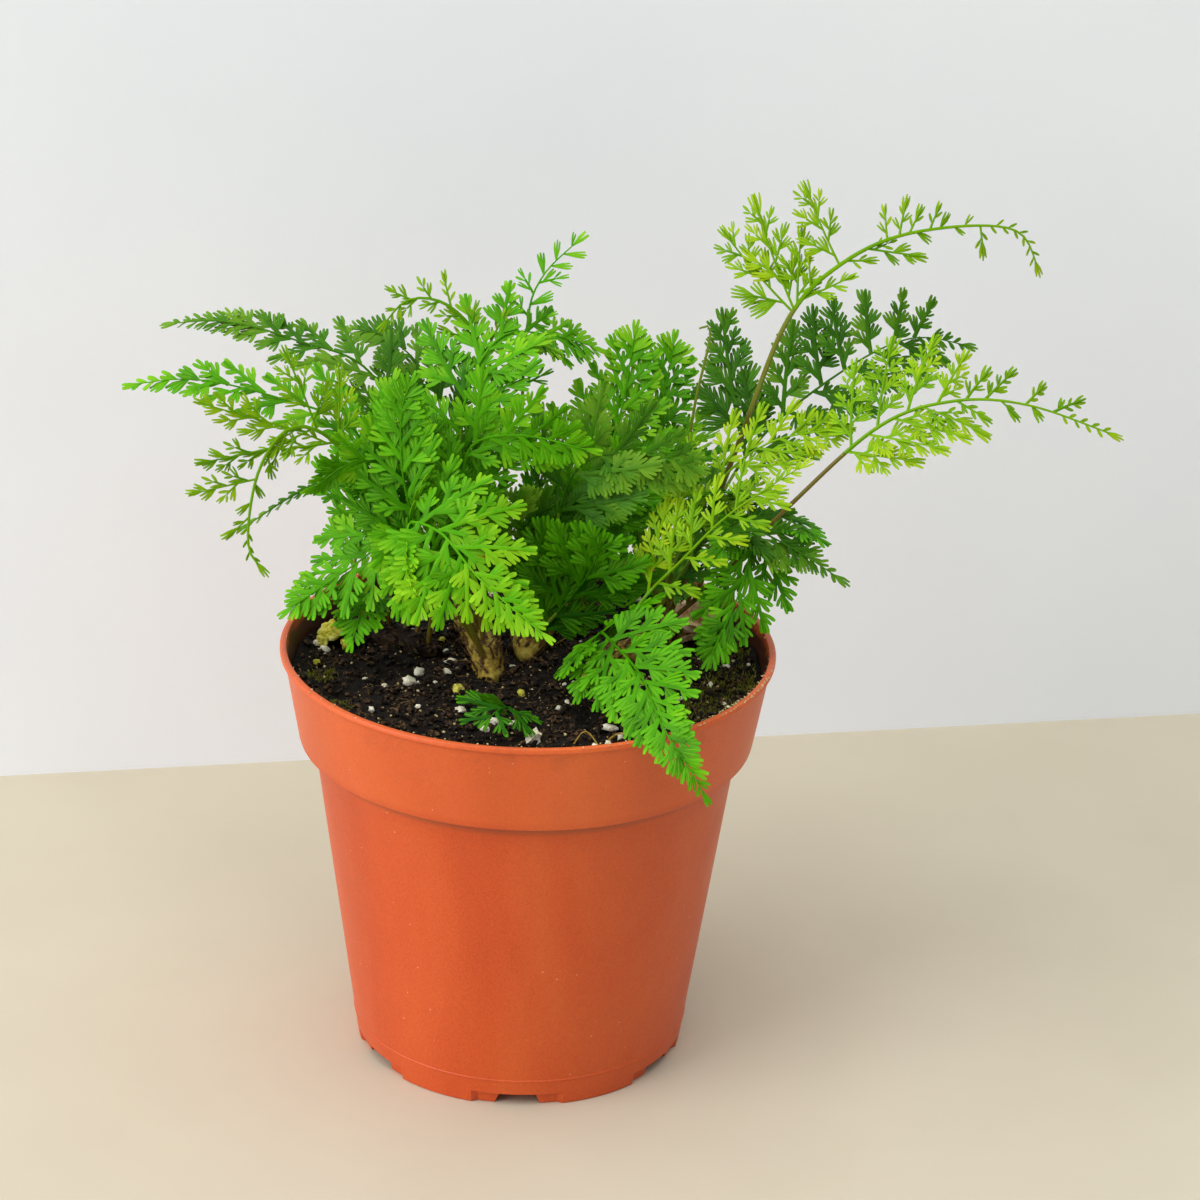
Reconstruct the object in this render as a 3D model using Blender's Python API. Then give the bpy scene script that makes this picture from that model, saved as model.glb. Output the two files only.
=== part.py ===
"""Potted rabbit's foot fern: a small Davallia in a 108 mm plastic nursery pot.

The pot stands on z = 0 with its axis on Z, and the origin is the middle of its underside.
Its front is at -Y. All sizes below are in millimetres and are turned to metres as each mesh is made.
"""

import math
import random
from dataclasses import dataclass

import bmesh
import bpy
from mathutils import Matrix, Vector
from mathutils.bvhtree import BVHTree

MM = 0.001
CLEAR = 0.35  # gap kept between two pieces that touch on the real plant

# Pot: a standard injection-moulded nursery pot
SIDES = 32  # flats round the pot and the soil, so that both have parallel walls
LIP_R = 54.0
POT_HEIGHT = 94.5
LIP_TALL = 1.2
LIP_WIDE = 1.5
BAND_TOP_R = 53.1
BAND_LOW_R = 49.8
BAND_Z = 73.8  # lower edge of the deep band under the lip
BODY_TOP_R = 46.5
BODY_STEP_Z = 72.6
FOOT_R = 36.4
WALL = 1.1
FLOOR_THICK = 1.2
FLOOR_RISE = 3.2  # the drain channel round the floor stands this high
CENTRE_PAD_R = 19.0
CHANNEL_IN_R = 22.0
FOOT_NOTCHES = 6
NOTCH_TALL = 3.0
NOTCH_HALF_TOP = 5.0
NOTCH_HALF_FOOT = 6.2
RECESS_HALF = 10.0
RECESS_DEEP = 0.45
DRAIN_R = 3.0
DRAIN_SIDES = 8

# Soil
SOIL_Z = 87.2
SOIL_FRONT_RISE = 2.4  # the soil is nearer the rim at the front
SOIL_LUMP = 0.9
SOIL_RINGS = (12.0, 24.0, 35.0, 44.5)
SOIL_SEED = 7
# Perlite and grit, as (x, y, size across), fused to the soil where they lie
CRUMBS = (
    (-25.5, -10.5, 3.8),
    (-22.5, -4.0, 3.0),
    (1.5, -45.0, 4.8),
    (20.5, -41.0, 3.8),
    (-9.0, -38.5, 3.2),
    (-45.0, 7.0, 3.6),
    (30.0, -28.0, 3.0),
    (-28.0, 34.0, 3.6),
)
CRUMB_SUNK = 0.25  # share of a crumb's size that its middle lies above the soil

# Rhizomes: the points of each centre line, and its radius at the middle
RHIZOMES = {
    "rhizome_left": (((-45, 17, 88), (-38, 17, 89), (-29, 14, 89), (-21, 9, 88)), 3.4),
    "rhizome_mid": (((-8, -4, 87), (-9, 4, 89), (-11, 15, 89), (-14, 27, 89), (-13, 39, 87)), 3.9),
    "rhizome_core": (((-1, 8, 88), (1, 17, 89), (5, 28, 89), (13, 37, 87)), 4.2),
    "rhizome_right": (((13, -3, 87), (19, 5, 89), (27, 13, 89), (33, 22, 89), (36, 31, 88)), 3.7),
}
RHIZOME_SIDES = 8
RHIZOME_STEP = 4.2
RHIZOME_SEED = 11

# Fronds
RIB_HALF = 0.55
TIP_RIB_HALF = 0.34
BLADE_HALF_THICK = 0.32
STIPE_STEP = 15.0
SWEEP = 0.75  # how far a lobe's tip leans forward, as a share of its reach
CUP = 0.12  # how far a lobe's tip hangs, as a share of its reach
LEAST_LOBE = 1.1
NECK = 0.14  # a branch's bare neck, as a share of its length
NECK_HALF = 0.45
FULL = 0.62  # lobes' reach, as a share of the room between branches
TWIST = 18.0  # each branch is turned about its own rib, so that it overlaps the next one
GREEN = (0.10, 0.32, 0.03)
DARK = (0.05, 0.19, 0.03)
LIME = (0.30, 0.46, 0.03)


@dataclass(frozen=True)
class Frond:
    """One frond: where it grows, the line of its rib, and the shape of its blade."""

    name: str
    bed: str  # the rhizome it grows from, or "soil"
    along: float  # place on the rhizome, from 0 to 1
    route: tuple  # points that the rib passes after its foot
    bare: float  # share of the rib without leaflets
    pairs: int
    reach: float  # length of the longest side branch
    lobes: int  # lobes on that branch
    face: tuple  # the way the blade's upper side looks
    tone: tuple = GREEN
    angle: float = 56.0  # between rib and side branches
    droop: float = 0.12  # how far a branch's tip hangs, as a share of its length
    taper: float = 0.8  # how fast the side branches shorten towards the tip


FRONDS = (
    Frond("frond_front_left", "rhizome_mid", 0.10,
          ((-17, -5, 110), (-26, -11, 126), (-19, -17, 127), (-10, -26, 120), (5, -36, 111)),
          0.44, 6, 18, 5, (-0.2, -0.7, 0.7)),
    Frond("frond_front_right", "rhizome_right", 0.02,
          ((15, -9, 101), (18, -18, 103), (24, -33, 102), (28, -48, 98), (34, -57, 92), (38, -58, 85)),
          0.18, 6, 18, 5, (0.1, -0.5, 0.85)),
    Frond("frond_low_left", "rhizome_left", 0.95,
          ((-21, 4, 110), (-27, -1, 122), (-36, -6, 116), (-53, -14, 106)),
          0.46, 5, 16, 5, (-0.1, -0.6, 0.8)),
    Frond("frond_left_arching", "rhizome_left", 0.55,
          ((-31, 5, 118), (-41, 0, 139), (-51, -4, 145), (-58, -7, 136), (-60, -11, 121), (-56, -13, 115)),
          0.50, 6, 13, 3, (-0.3, -0.9, 0.4), LIME, 54, 0.15, 1.0),
    Frond("frond_left_light", "rhizome_left", 0.30,
          ((-33, 9, 118), (-38, 7, 140), (-54, 5, 148), (-72, 2, 153), (-87, 0, 152)),
          0.40, 6, 15, 4, (0, -0.55, 0.85), GREEN, 52),
    Frond("frond_left_dark", "rhizome_left", 0.70,
          ((-25, 19, 118), (-35, 25, 146), (-53, 29, 153), (-68, 31, 156), (-82, 34, 154)),
          0.42, 6, 15, 4, (0, -0.5, 0.85), DARK, 54),
    Frond("frond_back_left_dark", "rhizome_mid", 0.72,
          ((-14, 32, 116), (-23, 38, 140), (-33, 43, 149), (-44, 46, 150)),
          0.46, 4, 13, 4, (0, -0.5, 0.85), DARK),
    Frond("frond_tall_right", "rhizome_right", 0.56,
          ((36, 14, 110), (45, 15, 138), (54, 16, 165), (65, 16, 178), (80, 17, 185), (101, 18, 186),
           (108, 18, 176)),
          0.50, 6, 27, 8, (-0.1, -1, 0.3), LIME, 48, 0.06, 1.9),
    Frond("frond_long_right", "rhizome_right", 0.30,
          ((37, 2, 106), (55, 0, 128), (73, -3, 148), (88, -5, 155), (104, -6, 155), (124, -8, 149)),
          0.44, 7, 21, 6, (0, -0.6, 0.8), LIME, 58, 0.14, 1.7),
    Frond("frond_right_lime", "rhizome_right", 0.12,
          ((24, -5, 107), (32, -8, 118), (42, -12, 131), (58, -16, 145)),
          0.34, 5, 16, 4, (-0.2, -0.8, 0.6), LIME, 56),
    Frond("frond_young_hooked", "rhizome_mid", 0.52,
          ((-6, 19, 124), (-9, 21, 147), (-13, 21, 158), (-20, 21, 165), (-28, 22, 165), (-34, 22, 158)),
          0.60, 5, 10, 3, (0, -0.9, 0.4), LIME, 56),
    Frond("frond_young_upright", "rhizome_core", 0.62,
          ((-2, 25, 130), (-2, 29, 157), (1, 31, 168), (10, 34, 177)),
          0.66, 5, 11, 3, (-0.2, -1, 0.2), GREEN, 54),
    Frond("frond_back_right_dark", "rhizome_right", 0.90,
          ((39, 25, 113), (50, 30, 132), (67, 35, 146), (83, 40, 153), (98, 44, 150)),
          0.36, 6, 18, 5, (0, -0.85, 0.5), DARK, 78),
    Frond("frond_centre_light", "rhizome_mid", 0.26,
          ((-13, 3, 118), (-14, 2, 138), (-3, 0, 143), (14, -4, 141)),
          0.50, 4, 17, 5, (0, -0.8, 0.6), GREEN, 60, 0.2),
    Frond("frond_centre_dark", "rhizome_core", 0.08,
          ((5, 7, 118), (10, 3, 135), (22, -1, 140), (37, -6, 138)),
          0.46, 4, 19, 5, (0, -0.8, 0.6), DARK, 62, 0.15),
    Frond("frond_left_upright", "rhizome_mid", 0.18,
          ((-20, -2, 110), (-27, -5, 132), (-28, -3, 149), (-25, -2, 157)),
          0.40, 4, 17, 5, (-0.2, -1, 0.3)),
    Frond("frond_left_middle", "rhizome_mid", 0.34,
          ((-20, 8, 112), (-27, 3, 131), (-37, -4, 138), (-48, -12, 133)),
          0.42, 4, 17, 5, (-0.2, -0.8, 0.6)),
    Frond("frond_left_back_green", "rhizome_left", 0.10,
          ((-38, 16, 110), (-36, 17, 130), (-30, 22, 149)),
          0.40, 4, 15, 4, (-0.3, -0.9, 0.4)),
    Frond("frond_top_left", "rhizome_mid", 0.40,
          ((-15, 12, 120), (-15, 13, 145), (-8, 19, 158), (3, 25, 157), (15, 30, 152)),
          0.50, 4, 18, 4, (0, -0.7, 0.7)),
    Frond("frond_top_middle", "rhizome_core", 0.45,
          ((12, 22, 115), (19, 28, 138), (22, 35, 157)),
          0.38, 4, 19, 4, (0, -1, 0.3)),
    Frond("frond_top_right", "rhizome_right", 0.70,
          ((24, 26, 112), (28, 34, 136), (31, 41, 153)),
          0.38, 4, 18, 4, (0.1, -1, 0.3)),
    Frond("frond_right_small", "rhizome_right", 0.46,
          ((32, 8, 112), (40, 7, 130), (51, 5, 141), (68, 2, 146)),
          0.46, 4, 16, 4, (0, -0.6, 0.8), LIME),
    Frond("frond_right_low_dark", "rhizome_right", 0.38,
          ((32, 5, 108), (41, 3, 123), (54, -3, 121), (68, -8, 114)),
          0.42, 4, 16, 4, (0.1, -0.7, 0.7), DARK),
    Frond("frond_right_hanging", "rhizome_right", 0.97,
          ((42, 21, 112), (48, 9, 124), (46, -5, 113), (38, -18, 98)),
          0.50, 4, 15, 4, (0.2, -0.9, 0.3), DARK),
    Frond("frond_centre_deep", "rhizome_core", 0.22,
          ((1, 9, 110), (-2, 1, 122), (-5, -6, 132)),
          0.30, 3, 17, 4, (0, -1, 0.3), DARK),
    Frond("frond_centre_low", "rhizome_core", 0.15,
          ((9, 4, 104), (13, -2, 113), (16, -8, 124)),
          0.28, 4, 17, 4, (0.1, -1, 0.3)),
    Frond("frond_centre_green", "rhizome_core", 0.32,
          ((8, 14, 112), (15, 12, 126), (22, 12, 138)),
          0.34, 4, 17, 3, (0, -1, 0.4)),
    Frond("frond_left_thin", "rhizome_left", 0.84,
          ((-25, 13, 112), (-33, 11, 125), (-47, 8, 127), (-63, 4, 118)),
          0.55, 4, 8, 2, (0, -0.3, 1), DARK),
    Frond("frond_left_soil", "rhizome_left", 0.45,
          ((-32, 6, 102), (-35, -4, 106), (-38, -20, 101)),
          0.46, 3, 10, 3, (0, -0.5, 0.8), DARK),
    Frond("frond_front_seedling", "soil", 0.0,
          ((-3, -31, 93), (-6, -36, 95), (-9, -42, 94)),
          0.30, 2, 9, 2, (0, -0.5, 0.8), GREEN, 62),
    Frond("frond_back_middle", "rhizome_core", 0.85,
          ((12, 42, 108), (14, 52, 122), (10, 66, 124)),
          0.34, 4, 18, 4, (0, 0.5, 0.8), DARK),
    Frond("frond_back_left", "rhizome_mid", 0.92,
          ((-16, 43, 108), (-22, 52, 120), (-30, 64, 122)),
          0.36, 4, 17, 4, (-0.1, 0.4, 0.9)),
    Frond("frond_back_right", "rhizome_right", 0.78,
          ((30, 33, 108), (34, 44, 122), (36, 60, 126)),
          0.36, 4, 17, 4, (0.1, 0.4, 0.9)),
)
BARE_STEM = ("stem_bare", "rhizome_right", 0.64, ((33, 22, 120), (35, 24, 141), (38, 26, 159)))
SEEDLING_HOLE = (-1.0, -29.0)
SEEDLING_DEPTH = 3.0

# The ways that a branch may swing or shorten to stay clear of the fronds round it
SWINGS = (0, 14, -14, 28, -28, 42, -42, 58, -58)
LENGTHS = (1.0, 0.82, 0.66, 0.5)
SHIFTS = ((0, 0), (2, 0), (-2, 0), (0, 2), (0, -2), (2, 2), (-2, 2), (2, -2), (-2, -2),
          (4, 0), (-4, 0), (0, 4), (0, -4))


def material(name, colour, roughness):
    """A plain Principled finish."""
    mat = bpy.data.materials.new(name)
    mat.use_nodes = True
    shader = mat.node_tree.nodes["Principled BSDF"]
    shader.inputs["Base Color"].default_value = (*colour, 1.0)
    shader.inputs["Roughness"].default_value = roughness
    mat.diffuse_color = (*colour, 1.0)
    return mat


def place(name, bm, mat, smooth_deg=40.0):
    """Turns a bmesh in millimetres into a named object in metres."""
    bmesh.ops.transform(bm, matrix=Matrix.Scale(MM, 4), verts=bm.verts)
    mesh = bpy.data.meshes.new(name)
    bm.to_mesh(mesh)
    bm.free()
    obj = bpy.data.objects.new(name, mesh)
    bpy.context.scene.collection.objects.link(obj)
    obj.data.materials.append(mat)
    mesh.shade_smooth()
    mesh.set_sharp_from_angle(angle=math.radians(smooth_deg))
    return obj


def apply_boolean(obj, cutters, operation):
    """Joins or cuts obj with a collection of other solids, and removes them."""
    group = bpy.data.collections.new("tools")
    bpy.context.scene.collection.children.link(group)
    for tool in cutters:
        bpy.context.scene.collection.objects.unlink(tool)
        group.objects.link(tool)
    mod = obj.modifiers.new(operation.lower(), "BOOLEAN")
    mod.operation = operation
    mod.operand_type = "COLLECTION"
    mod.collection = group
    mod.solver = "EXACT"
    bpy.context.view_layer.update()
    evaluated = obj.evaluated_get(bpy.context.evaluated_depsgraph_get())
    made = bpy.data.meshes.new_from_object(evaluated)
    obj.modifiers.clear()
    obj.data = made
    for tool in cutters:
        bpy.data.objects.remove(tool)
    bpy.data.collections.remove(group)


def turned(profile):
    """A closed ring of (radius, z) points turned about Z; points on the axis become poles."""
    bm = bmesh.new()
    rings = []
    for r, z in profile:
        if r == 0:
            rings.append([bm.verts.new((0, 0, z))])
            continue
        ring = []
        for i in range(SIDES):
            a = 2 * math.pi * i / SIDES
            ring.append(bm.verts.new((r * math.sin(a), -r * math.cos(a), z)))
        rings.append(ring)
    for low, high in zip(rings, rings[1:] + rings[:1]):
        if len(low) == 1 and len(high) == 1:
            continue
        for i in range(SIDES):
            j = (i + 1) % SIDES
            corners = [low[i % len(low)], low[j % len(low)], high[j % len(high)], high[i % len(high)]]
            corners = list(dict.fromkeys(corners))
            bm.faces.new(corners)
    bmesh.ops.recalc_face_normals(bm, faces=bm.faces)
    return bm


def block(name, corners_low, corners_high):
    """A closed prism between two rings of the same number of points."""
    bm = bmesh.new()
    low = [bm.verts.new(p) for p in corners_low]
    high = [bm.verts.new(p) for p in corners_high]
    bm.faces.new(low)
    bm.faces.new(high)
    for i in range(len(low)):
        j = (i + 1) % len(low)
        bm.faces.new((low[i], low[j], high[j], high[i]))
    bmesh.ops.recalc_face_normals(bm, faces=bm.faces)
    return place(name, bm, None)


def wedge(name, half_foot, half_top, r_in, r_out, turn):
    """A notch cutter: a trapezoid in front view that runs from r_in to r_out."""
    outline = ((-half_foot, -1.0), (half_foot, -1.0), (half_top, NOTCH_TALL), (-half_top, NOTCH_TALL))
    spin = Matrix.Rotation(turn, 3, "Z")
    return block(
        name,
        [spin @ Vector((x, -r_in, z)) for x, z in outline],
        [spin @ Vector((x, -r_out, z)) for x, z in outline],
    )


def make_pot(mat):
    """The plastic pot: lip, band, body, raised drain channel and notched foot."""
    slope = (BODY_TOP_R - FOOT_R) / BODY_STEP_Z
    inner_foot_r = FOOT_R + slope * (FLOOR_RISE + FLOOR_THICK) - WALL
    lip_z = POT_HEIGHT - LIP_TALL
    profile = (
        (0, FLOOR_THICK),
        (0, 0),
        (CENTRE_PAD_R, 0),
        (CHANNEL_IN_R, FLOOR_RISE),
        (FOOT_R - WALL - 0.5, FLOOR_RISE),
        (FOOT_R - WALL - 0.6, 0),
        (FOOT_R, 0),
        (BODY_TOP_R, BODY_STEP_Z),
        (BAND_LOW_R, BAND_Z),
        (BAND_TOP_R, lip_z - 0.7),
        (BAND_TOP_R, lip_z),
        (LIP_R, lip_z + 0.2),
        (LIP_R, POT_HEIGHT - 0.3),
        (LIP_R - 0.4, POT_HEIGHT),
        (LIP_R - LIP_WIDE, POT_HEIGHT),
        (BAND_LOW_R - WALL, BAND_Z + 0.8),
        (BODY_TOP_R - WALL, BODY_STEP_Z - 0.4),
        (inner_foot_r, FLOOR_RISE + FLOOR_THICK),
        (CHANNEL_IN_R - 0.6, FLOOR_RISE + FLOOR_THICK),
        (CENTRE_PAD_R - 0.8, FLOOR_THICK),
    )
    pot = place("pot", turned(profile), mat)
    cutters = []
    for k in range(FOOT_NOTCHES):
        turn = 2 * math.pi * k / FOOT_NOTCHES
        cutters.append(wedge("slot", NOTCH_HALF_FOOT, NOTCH_HALF_TOP, FOOT_R - 3.5, FOOT_R + 3, turn))
        flat_r = (FOOT_R + slope * NOTCH_TALL) * math.cos(math.asin(RECESS_HALF / FOOT_R))
        cutters.append(
            wedge("recess", RECESS_HALF, RECESS_HALF - 0.6, flat_r - RECESS_DEEP, FOOT_R + 3, turn)
        )
        drain_turn = turn + math.pi / FOOT_NOTCHES
        hub = Vector((math.sin(drain_turn), -math.cos(drain_turn), 0)) * (FOOT_R + CHANNEL_IN_R) * 0.5
        rim = [
            hub + Vector((DRAIN_R * math.cos(a), DRAIN_R * math.sin(a), 0))
            for a in (2 * math.pi * i / DRAIN_SIDES for i in range(DRAIN_SIDES))
        ]
        cutters.append(
            block(
                "drain",
                [p + Vector((0, 0, FLOOR_RISE - 1)) for p in rim],
                [p + Vector((0, 0, FLOOR_RISE + FLOOR_THICK + 1)) for p in rim],
            )
        )
    apply_boolean(pot, cutters, "DIFFERENCE")
    return pot


def soil_height(x, y):
    """Height of the soil's surface before crumbs: slightly domed, higher at the front, and lumpy."""
    r = math.hypot(x, y)
    lumps = math.sin(0.31 * x + 1.1) * math.cos(0.27 * y + 0.4) + 0.6 * math.sin(0.17 * (x - y) + 2.0)
    edge = 0.8 * (r / 50.0) ** 4
    return SOIL_Z + SOIL_FRONT_RISE * max(0.0, -y / 50.0) + SOIL_LUMP * 0.6 * lumps - edge


def make_soil(mat, rhizomes):
    """The peat: it fills the pot, carries crumbs of perlite, and has a groove for each rhizome."""
    slope = (BODY_TOP_R - FOOT_R) / BODY_STEP_Z
    gap = CLEAR
    floor_z = FLOOR_RISE + FLOOR_THICK + gap
    wall_foot_r = FOOT_R + slope * floor_z - WALL - gap
    band_slope = (LIP_R - LIP_WIDE - BAND_LOW_R + WALL) / (POT_HEIGHT - BAND_Z - 0.8)
    edge_z = SOIL_Z - 1.0
    edge_r = BAND_LOW_R - WALL + band_slope * (edge_z - BAND_Z - 0.8) - gap
    profile = [
        (0, FLOOR_THICK + gap),
        (CENTRE_PAD_R - 1.4, FLOOR_THICK + gap),
        (CHANNEL_IN_R - 1.2, floor_z),
        (wall_foot_r, floor_z),
        (BODY_TOP_R - WALL - gap - 0.1, BODY_STEP_Z - 0.2),
        (BAND_LOW_R - WALL - gap, BAND_Z + 1.2),
        (edge_r, edge_z),
    ]
    rim = edge_r - 0.4
    top = [(r, None) for r in (rim, *reversed(SOIL_RINGS))] + [(0, None)]
    bm = turned([*profile, *[(r, SOIL_Z) for r, _ in top]])
    rnd = random.Random(SOIL_SEED)
    for v in bm.verts:
        if v.co.z > SOIL_Z - 0.5:
            v.co.z = soil_height(v.co.x, v.co.y) + rnd.uniform(-0.5, 0.5) * SOIL_LUMP
    bmesh.ops.triangulate(bm, faces=[f for f in bm.faces if f.calc_center_median().z > SOIL_Z - 2])
    soil = place("soil", bm, mat)
    crumbs = []
    for x, y, size in CRUMBS:
        lump = bmesh.new()
        bmesh.ops.create_icosphere(lump, subdivisions=1, radius=size / 2)
        for v in lump.verts:
            v.co *= rnd.uniform(0.82, 1.12)
        spin = Matrix.Rotation(rnd.uniform(0, 6.28), 4, "Z") @ Matrix.Rotation(rnd.uniform(0, 3.1), 4, "X")
        middle = Vector((x, y, soil_height(x, y) + CRUMB_SUNK * size))
        bmesh.ops.transform(lump, matrix=Matrix.Translation(middle) @ spin, verts=lump.verts)
        crumbs.append(place("crumb", lump, mat))
    apply_boolean(soil, crumbs, "UNION")
    grooves = [
        place("groove", tube(line, [r + CLEAR for r in radii], RHIZOME_SIDES, CLEAR), mat)
        for line, radii in rhizomes.values()
    ]
    x, y = SEEDLING_HOLE
    hole = [
        Vector((x + 1.1 * math.cos(a), y + 1.1 * math.sin(a), 0))
        for a in (2 * math.pi * i / 6 for i in range(6))
    ]
    deep = soil_height(x, y) - SEEDLING_DEPTH
    grooves.append(
        block(
            "stem_hole",
            [p + Vector((0, 0, deep)) for p in hole],
            [p + Vector((0, 0, deep + 12)) for p in hole],
        )
    )
    apply_boolean(soil, grooves, "DIFFERENCE")
    return soil


def smooth_route(points, spacing):
    """Even steps along a smooth curve through the points."""
    pts = [Vector(p) for p in points]
    ends = [2 * pts[0] - pts[1], *pts, 2 * pts[-1] - pts[-2]]
    fine = []
    for a, b, c, d in zip(ends, ends[1:], ends[2:], ends[3:]):
        for i in range(12):
            t = i / 12
            fine.append(
                0.5 * (2 * b + (c - a) * t + (2 * a - 5 * b + 4 * c - d) * t * t
                       + (3 * b - a - 3 * c + d) * t ** 3)
            )
    fine.append(pts[-1])
    return resample(fine, spacing)


def resample(line, spacing):
    """The line again, with steps of about one length; spacing may be a list of distances."""
    reach = [0.0]
    for a, b in zip(line, line[1:]):
        reach.append(reach[-1] + (b - a).length)
    if isinstance(spacing, (int, float)):
        count = max(2, round(reach[-1] / spacing))
        stops = [reach[-1] * i / count for i in range(count + 1)]
    else:
        stops = spacing
    out = []
    k = 0
    for s in stops:
        while k < len(reach) - 2 and reach[k + 1] < s:
            k += 1
        span = max(reach[k + 1] - reach[k], 1e-9)
        out.append(line[k].lerp(line[k + 1], min(1.0, max(0.0, (s - reach[k]) / span))))
    return out


def length_of(line):
    """Length of a polyline."""
    return sum((b - a).length for a, b in zip(line, line[1:]))


def tangents(line):
    """Unit direction at each point of a line."""
    out = []
    for i in range(len(line)):
        step = line[min(i + 1, len(line) - 1)] - line[max(i - 1, 0)]
        out.append(step.normalized())
    return out


def carried_sides(line, start, face):
    """A side vector at each point, square to the line and turned as little as possible."""
    dirs = tangents(line)
    sides = [None] * len(line)
    sides[start] = dirs[start].cross(face).normalized()
    for order in (range(start + 1, len(line)), range(start - 1, -1, -1)):
        last = start
        for i in order:
            turn = dirs[last].rotation_difference(dirs[i])
            side = turn @ sides[last]
            sides[i] = (side - side.dot(dirs[i]) * dirs[i]).normalized()
            last = i
    return dirs, sides


def tube(line, radii, sides, extend=0.0):
    """A round bar along a line, closed with blunt, rounded ends."""
    bm = bmesh.new()
    dirs, across = carried_sides(line, len(line) // 2, Vector((0, 0, 1)))
    rings = []
    for p, d, s, r in zip(line, dirs, across, radii):
        up = s.cross(d)
        ring = []
        for k in range(sides):
            a = 2 * math.pi * k / sides
            ring.append(bm.verts.new(p + (math.cos(a) * s + math.sin(a) * up) * r))
        rings.append(ring)
    for low, high in zip(rings, rings[1:]):
        for k in range(sides):
            j = (k + 1) % sides
            bm.faces.new((low[k], low[j], high[j], high[k]))
    ends = ((rings[0], line[0], -dirs[0], radii[0]), (rings[-1], line[-1], dirs[-1], radii[-1]))
    for ring, p, d, r in ends:
        pole = bm.verts.new(p + d * (0.7 * r + extend))
        for k in range(sides):
            bm.faces.new((ring[k], ring[(k + 1) % sides], pole))
    bmesh.ops.recalc_face_normals(bm, faces=bm.faces)
    return bm


def rhizome_lines():
    """Centre line and radii of each rhizome: knobbly, and tapered at both ends."""
    rnd = random.Random(RHIZOME_SEED)
    out = {}
    for name, (points, radius) in RHIZOMES.items():
        line = smooth_route(points, RHIZOME_STEP)
        radii = []
        for i in range(len(line)):
            end = min(i, len(line) - 1 - i)
            taper = (0.62, 0.9)[end] if end < 2 else 1.0
            radii.append(radius * taper * rnd.uniform(0.92, 1.1))
        out[name] = (line, radii)
    return out


class Sheet:
    """A leaf as one thin sheet: points with a normal and a half thickness, and flat faces."""

    def __init__(self):
        self.points = []
        self.faces = []

    def add(self, spot, normal, half):
        """Adds a point and returns its number."""
        self.points.append((spot, normal, half))
        return len(self.points) - 1

    def solid(self, more=0.0, first_face=0):
        """Both skins and the edge between them, as vertices and faces."""
        count = len(self.points)
        verts = [p + n * (h + more) for p, n, h in self.points]
        verts += [p - n * (h + more) for p, n, h in self.points]
        faces = []
        rim = {}
        for face in self.faces[first_face:]:
            faces.append(tuple(face))
            faces.append(tuple(i + count for i in reversed(face)))
            for a, b in zip(face, face[1:] + face[:1]):
                if (b, a) in rim:
                    del rim[(b, a)]
                else:
                    rim[(a, b)] = True
        for a, b in rim:
            faces.append((b, a, a + count, b + count))
        return verts, faces


def add_branch(sheet, root, start, along, upper, length, reach, lobes, droop, mirrored):
    """One side branch: a neck, then lobes cut to the rib, which alternate along it.

    root holds the two points that it grows from, the one nearer the frond's foot first.
    """
    half = BLADE_HALF_THICK
    across = upper.cross(along) if mirrored else along.cross(upper)
    facing = -1.0 if mirrored else 1.0
    rib = []
    for k in range(lobes + 1):
        t = NECK + (1.0 - NECK) * k / lobes
        spot = start + along * (length * t) - upper * (droop * length * t * t)
        ahead = (along - upper * (2 * droop * t)).normalized()
        rib.append((spot, ahead, facing * across.cross(ahead)))
    neck, _, normal = rib[0]
    neck_a = sheet.add(neck - across * NECK_HALF, normal, half)
    neck_b = sheet.add(neck + across * NECK_HALF, normal, half)
    middle = [sheet.add(p, n, half) for p, _, n in rib[1:]]

    def add_face(*corners):
        sheet.faces.append(tuple(reversed(corners)) if mirrored else corners)

    def lobe_tip(k, side):
        t = k / lobes
        out = max(LEAST_LOBE, reach * min(1.0, 0.74 + 1.6 * t) * (1.06 - t) ** 0.55)
        p, ahead, n = rib[k]
        return sheet.add(p + ahead * (SWEEP * out) + across * (side * out) - n * (CUP * out), n, half)

    add_face(root[0], root[1], neck_b)
    add_face(root[0], neck_b, neck_a)
    add_face(neck_a, neck_b, middle[0])
    add_face(neck_b, lobe_tip(0, 1), middle[0])
    low = neck_a
    for k in range(lobes - 1):
        side = -1 if k % 2 == 0 else 1
        tip = lobe_tip(k + 1, side)
        if side < 0:
            add_face(low, middle[k], tip)
            add_face(middle[k], middle[k + 1], tip)
        else:
            add_face(low, tip, middle[k])
            add_face(middle[k], tip, middle[k + 1])
        low = middle[k]


def foot_of(frond_bed, along, first, beds):
    """Where a stem leaves its rhizome, and the direction that it leaves in."""
    line, radii = beds[frond_bed]
    stop = along * (len(line) - 1)
    k = min(int(stop), len(line) - 2)
    centre = line[k].lerp(line[k + 1], stop - k)
    radius = radii[k] + (radii[k + 1] - radii[k]) * (stop - k)
    axis = (line[k + 1] - line[k]).normalized()
    away = Vector(first) - centre
    away = (away - axis * away.dot(axis)).normalized()
    return centre + away * (radius + CLEAR), away


def stem_route(bed, along, route, beds):
    """All the points that a stem passes, from its foot."""
    if bed == "soil":
        x, y = SEEDLING_HOLE
        z = soil_height(x, y)
        return [Vector((x, y, z - SEEDLING_DEPTH + CLEAR)), Vector((x, y, z + 1.5)), *map(Vector, route)]
    foot, away = foot_of(bed, along, route[0], beds)
    return [foot, foot + away * 3.0, *map(Vector, route)]


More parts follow.
